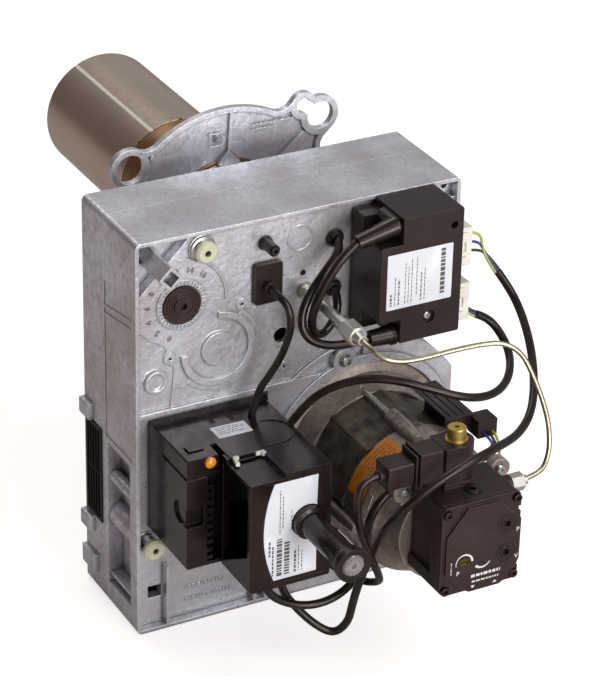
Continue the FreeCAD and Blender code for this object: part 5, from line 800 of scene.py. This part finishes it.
# Short single wires run from the white plugs to the sheathed leads, and from the motor's
# socket into its front shield: stranded copper in brown, blue and yellow-green plastic.
wire_brown = as_moulded("wire_brown", tone(62, 42, 36), 0.36, glint=0.2)
wire_blue = as_moulded("wire_blue", tone(44, 72, 156), 0.36, glint=0.2)
wire_green = as_moulded("wire_green", tone(176, 180, 70), 0.36, glint=0.2)
WIRE_WIDTH = 0.0023
for name, colour, points in (
        ("supply_brown", wire_brown, [(0.2640, -0.0320, 0.3005), (0.2788, -0.0320, 0.3005),
                                      (0.2886, -0.0355, 0.2941), (0.2947, -0.0430, 0.2829)]),
        ("supply_blue", wire_blue, [(0.2640, -0.0320, 0.3085), (0.2803, -0.0320, 0.3085),
                                    (0.2863, -0.0347, 0.2944), (0.2930, -0.0430, 0.2820)]),
        ("supply_green", wire_green, [(0.2640, -0.0320, 0.3165), (0.2824, -0.0320, 0.3165),
                                      (0.2838, -0.0337, 0.2951), (0.2913, -0.0430, 0.2811)]),
        ("ignition_brown", wire_brown, [(0.2640, -0.0320, 0.2525), (0.2714, -0.0320, 0.2525),
                                         (0.2741, -0.0337, 0.2482), (0.2808, -0.0350, 0.2452)]),
        ("ignition_blue", wire_blue, [(0.2640, -0.0320, 0.2605), (0.2734, -0.0320, 0.2605),
                                      (0.2716, -0.0333, 0.2473), (0.2800, -0.0350, 0.2435)]),
        ("ignition_green", wire_green, [(0.2640, -0.0320, 0.2685), (0.2764, -0.0320, 0.2685),
                                         (0.2681, -0.0328, 0.2468), (0.2792, -0.0350, 0.2418)]),
        ("motor_blue", wire_blue, [(0.2520, -0.1000, 0.1755), (0.2520, -0.1090, 0.1755),
                                    (0.2614, -0.1020, 0.1620), (0.2492, -0.0980, 0.1550)]),
        ("motor_brown", wire_brown, [(0.2560, -0.1000, 0.1755), (0.2560, -0.1090, 0.1755),
                                     (0.2653, -0.1020, 0.1541), (0.2524, -0.0980, 0.1487)]),
        ("motor_green", wire_green, [(0.2600, -0.1000, 0.1755), (0.2600, -0.1090, 0.1755),
                                     (0.2682, -0.1020, 0.1458), (0.2548, -0.0980, 0.1420)])):
    bend_round(name, points, WIRE_WIDTH, colour, "lead_wires")


# The part stands on a plain pale floor, level with its lowest point. The floor glows for the
# camera alone, so that the picture's ground is white and no light from it falls on the part.
REACH = 6.0
low = cad_box[0][2]
floor_mesh = bpy.data.meshes.new("floor")
floor_mesh.from_pydata([(-REACH, -REACH, low), (REACH, -REACH, low), (REACH, REACH, low),
                        (-REACH, REACH, low)], [], [(0, 1, 2, 3)])
floor = bpy.data.objects.new("floor", floor_mesh)
bpy.context.scene.collection.objects.link(floor)
pale = Finish("pale_floor", (0.9, 0.9, 0.9), 0.8, Emission_Color=(1.0, 1.0, 1.0, 1.0))
GROUND, DARKER_GROUND, GLOW = (0.62, 0.56, 0.54, 1), (0.60, 0.54, 0.52, 1), 0.72
seen = pale.node("LightPath", {}).outputs["Is Camera Ray"]
pale.use(Base_Color=pale.shade(pale.clouds(0.4, 2.0), GROUND, DARKER_GROUND),
         Emission_Strength=pale.maths("MULTIPLY", seen, GLOW))
floor_mesh.materials.append(pale.material)


# The studio's walls are white to the camera and light the part at a lower strength, warmer
# and dimmer from the left, as in the photo. Three broad soft lights stand round the part.
WARM, WHITE = (0.32, 0.24, 0.22, 1.0), (1.0, 1.0, 1.0, 1.0)
scene = bpy.context.scene
scene.world = bpy.data.worlds.new("studio")
scene.world.use_nodes = True
air = scene.world.node_tree
look = add_node(air, "ShaderNodeTexCoord", {}).outputs["Generated"]
side = add_node(air, "ShaderNodeSeparateXYZ", {0: look}).outputs["X"]
share = add_node(air, "ShaderNodeMapRange", {"Value": side, "From Min": -0.7, "From Max": 0.3}).outputs[0]
tint = add_node(air, "ShaderNodeMix", {"Factor": share, 6: WARM, 7: WHITE}, data_type="RGBA").outputs[2]
seen = add_node(air, "ShaderNodeLightPath", {}).outputs["Is Camera Ray"]
strength = add_node(air, "ShaderNodeMapRange", {"Value": seen, "To Min": 0.4, "To Max": 1.0}).outputs[0]
air.links.new(tint, air.nodes["Background"].inputs["Color"])
air.links.new(strength, air.nodes["Background"].inputs["Strength"])


def soft_light(name, place, aim, width, watts):
    """A broad square lamp at a place, turned to what it aims at."""
    lamp = bpy.data.lights.new(name, "AREA")
    lamp.size = width
    lamp.energy = watts
    light = bpy.data.objects.new(name, lamp)
    light.location = place
    light.rotation_euler = (Vector(aim) - Vector(place)).to_track_quat("-Z", "Y").to_euler()
    scene.collection.objects.link(light)


soft_light("key", (0.9, -2.2, 1.9), aim=(0, 0, 0), width=1.2, watts=28)
soft_light("back", (-0.2, 1.4, 2.4), aim=(0, 0, 0), width=1.2, watts=20)
soft_light("front", (0.1, -2.8, -0.05), aim=(0, 0, -0.18), width=1.5, watts=62)


# The camera stands where the photo was taken from, worked out from the housing's edges, the
# tube and the flange. Its focal length is in the photo's pixels, as is its picture's height.
CAMERA_PLACE = Vector((-0.9420, -1.8607, 1.0118))
FOCAL_PIXELS, PICTURE_PIXELS, SENSOR = 2859.05, 676, 36.0
YAW, TILT, ROLL = math.radians(28.65), math.radians(28.31), math.radians(1.40)
ahead = Vector((math.sin(YAW) * math.cos(TILT), math.cos(YAW) * math.cos(TILT), -math.sin(TILT)))
level = Vector((math.cos(YAW), -math.sin(YAW), 0.0))
upward = level.cross(ahead)
right = level * math.cos(ROLL) + upward * math.sin(ROLL)
up = upward * math.cos(ROLL) - level * math.sin(ROLL)
lens = bpy.data.cameras.new("camera")
lens.sensor_fit = "VERTICAL"
lens.sensor_height = SENSOR
lens.lens = FOCAL_PIXELS / PICTURE_PIXELS * SENSOR
lens.clip_end = 50.0
camera = bpy.data.objects.new("camera", lens)
camera.matrix_world = Matrix.Translation(CAMERA_PLACE) @ Matrix((right, up, -ahead)).transposed().to_4x4()
scene.collection.objects.link(camera)
scene.camera = camera
scene.view_settings.view_transform = "Standard"
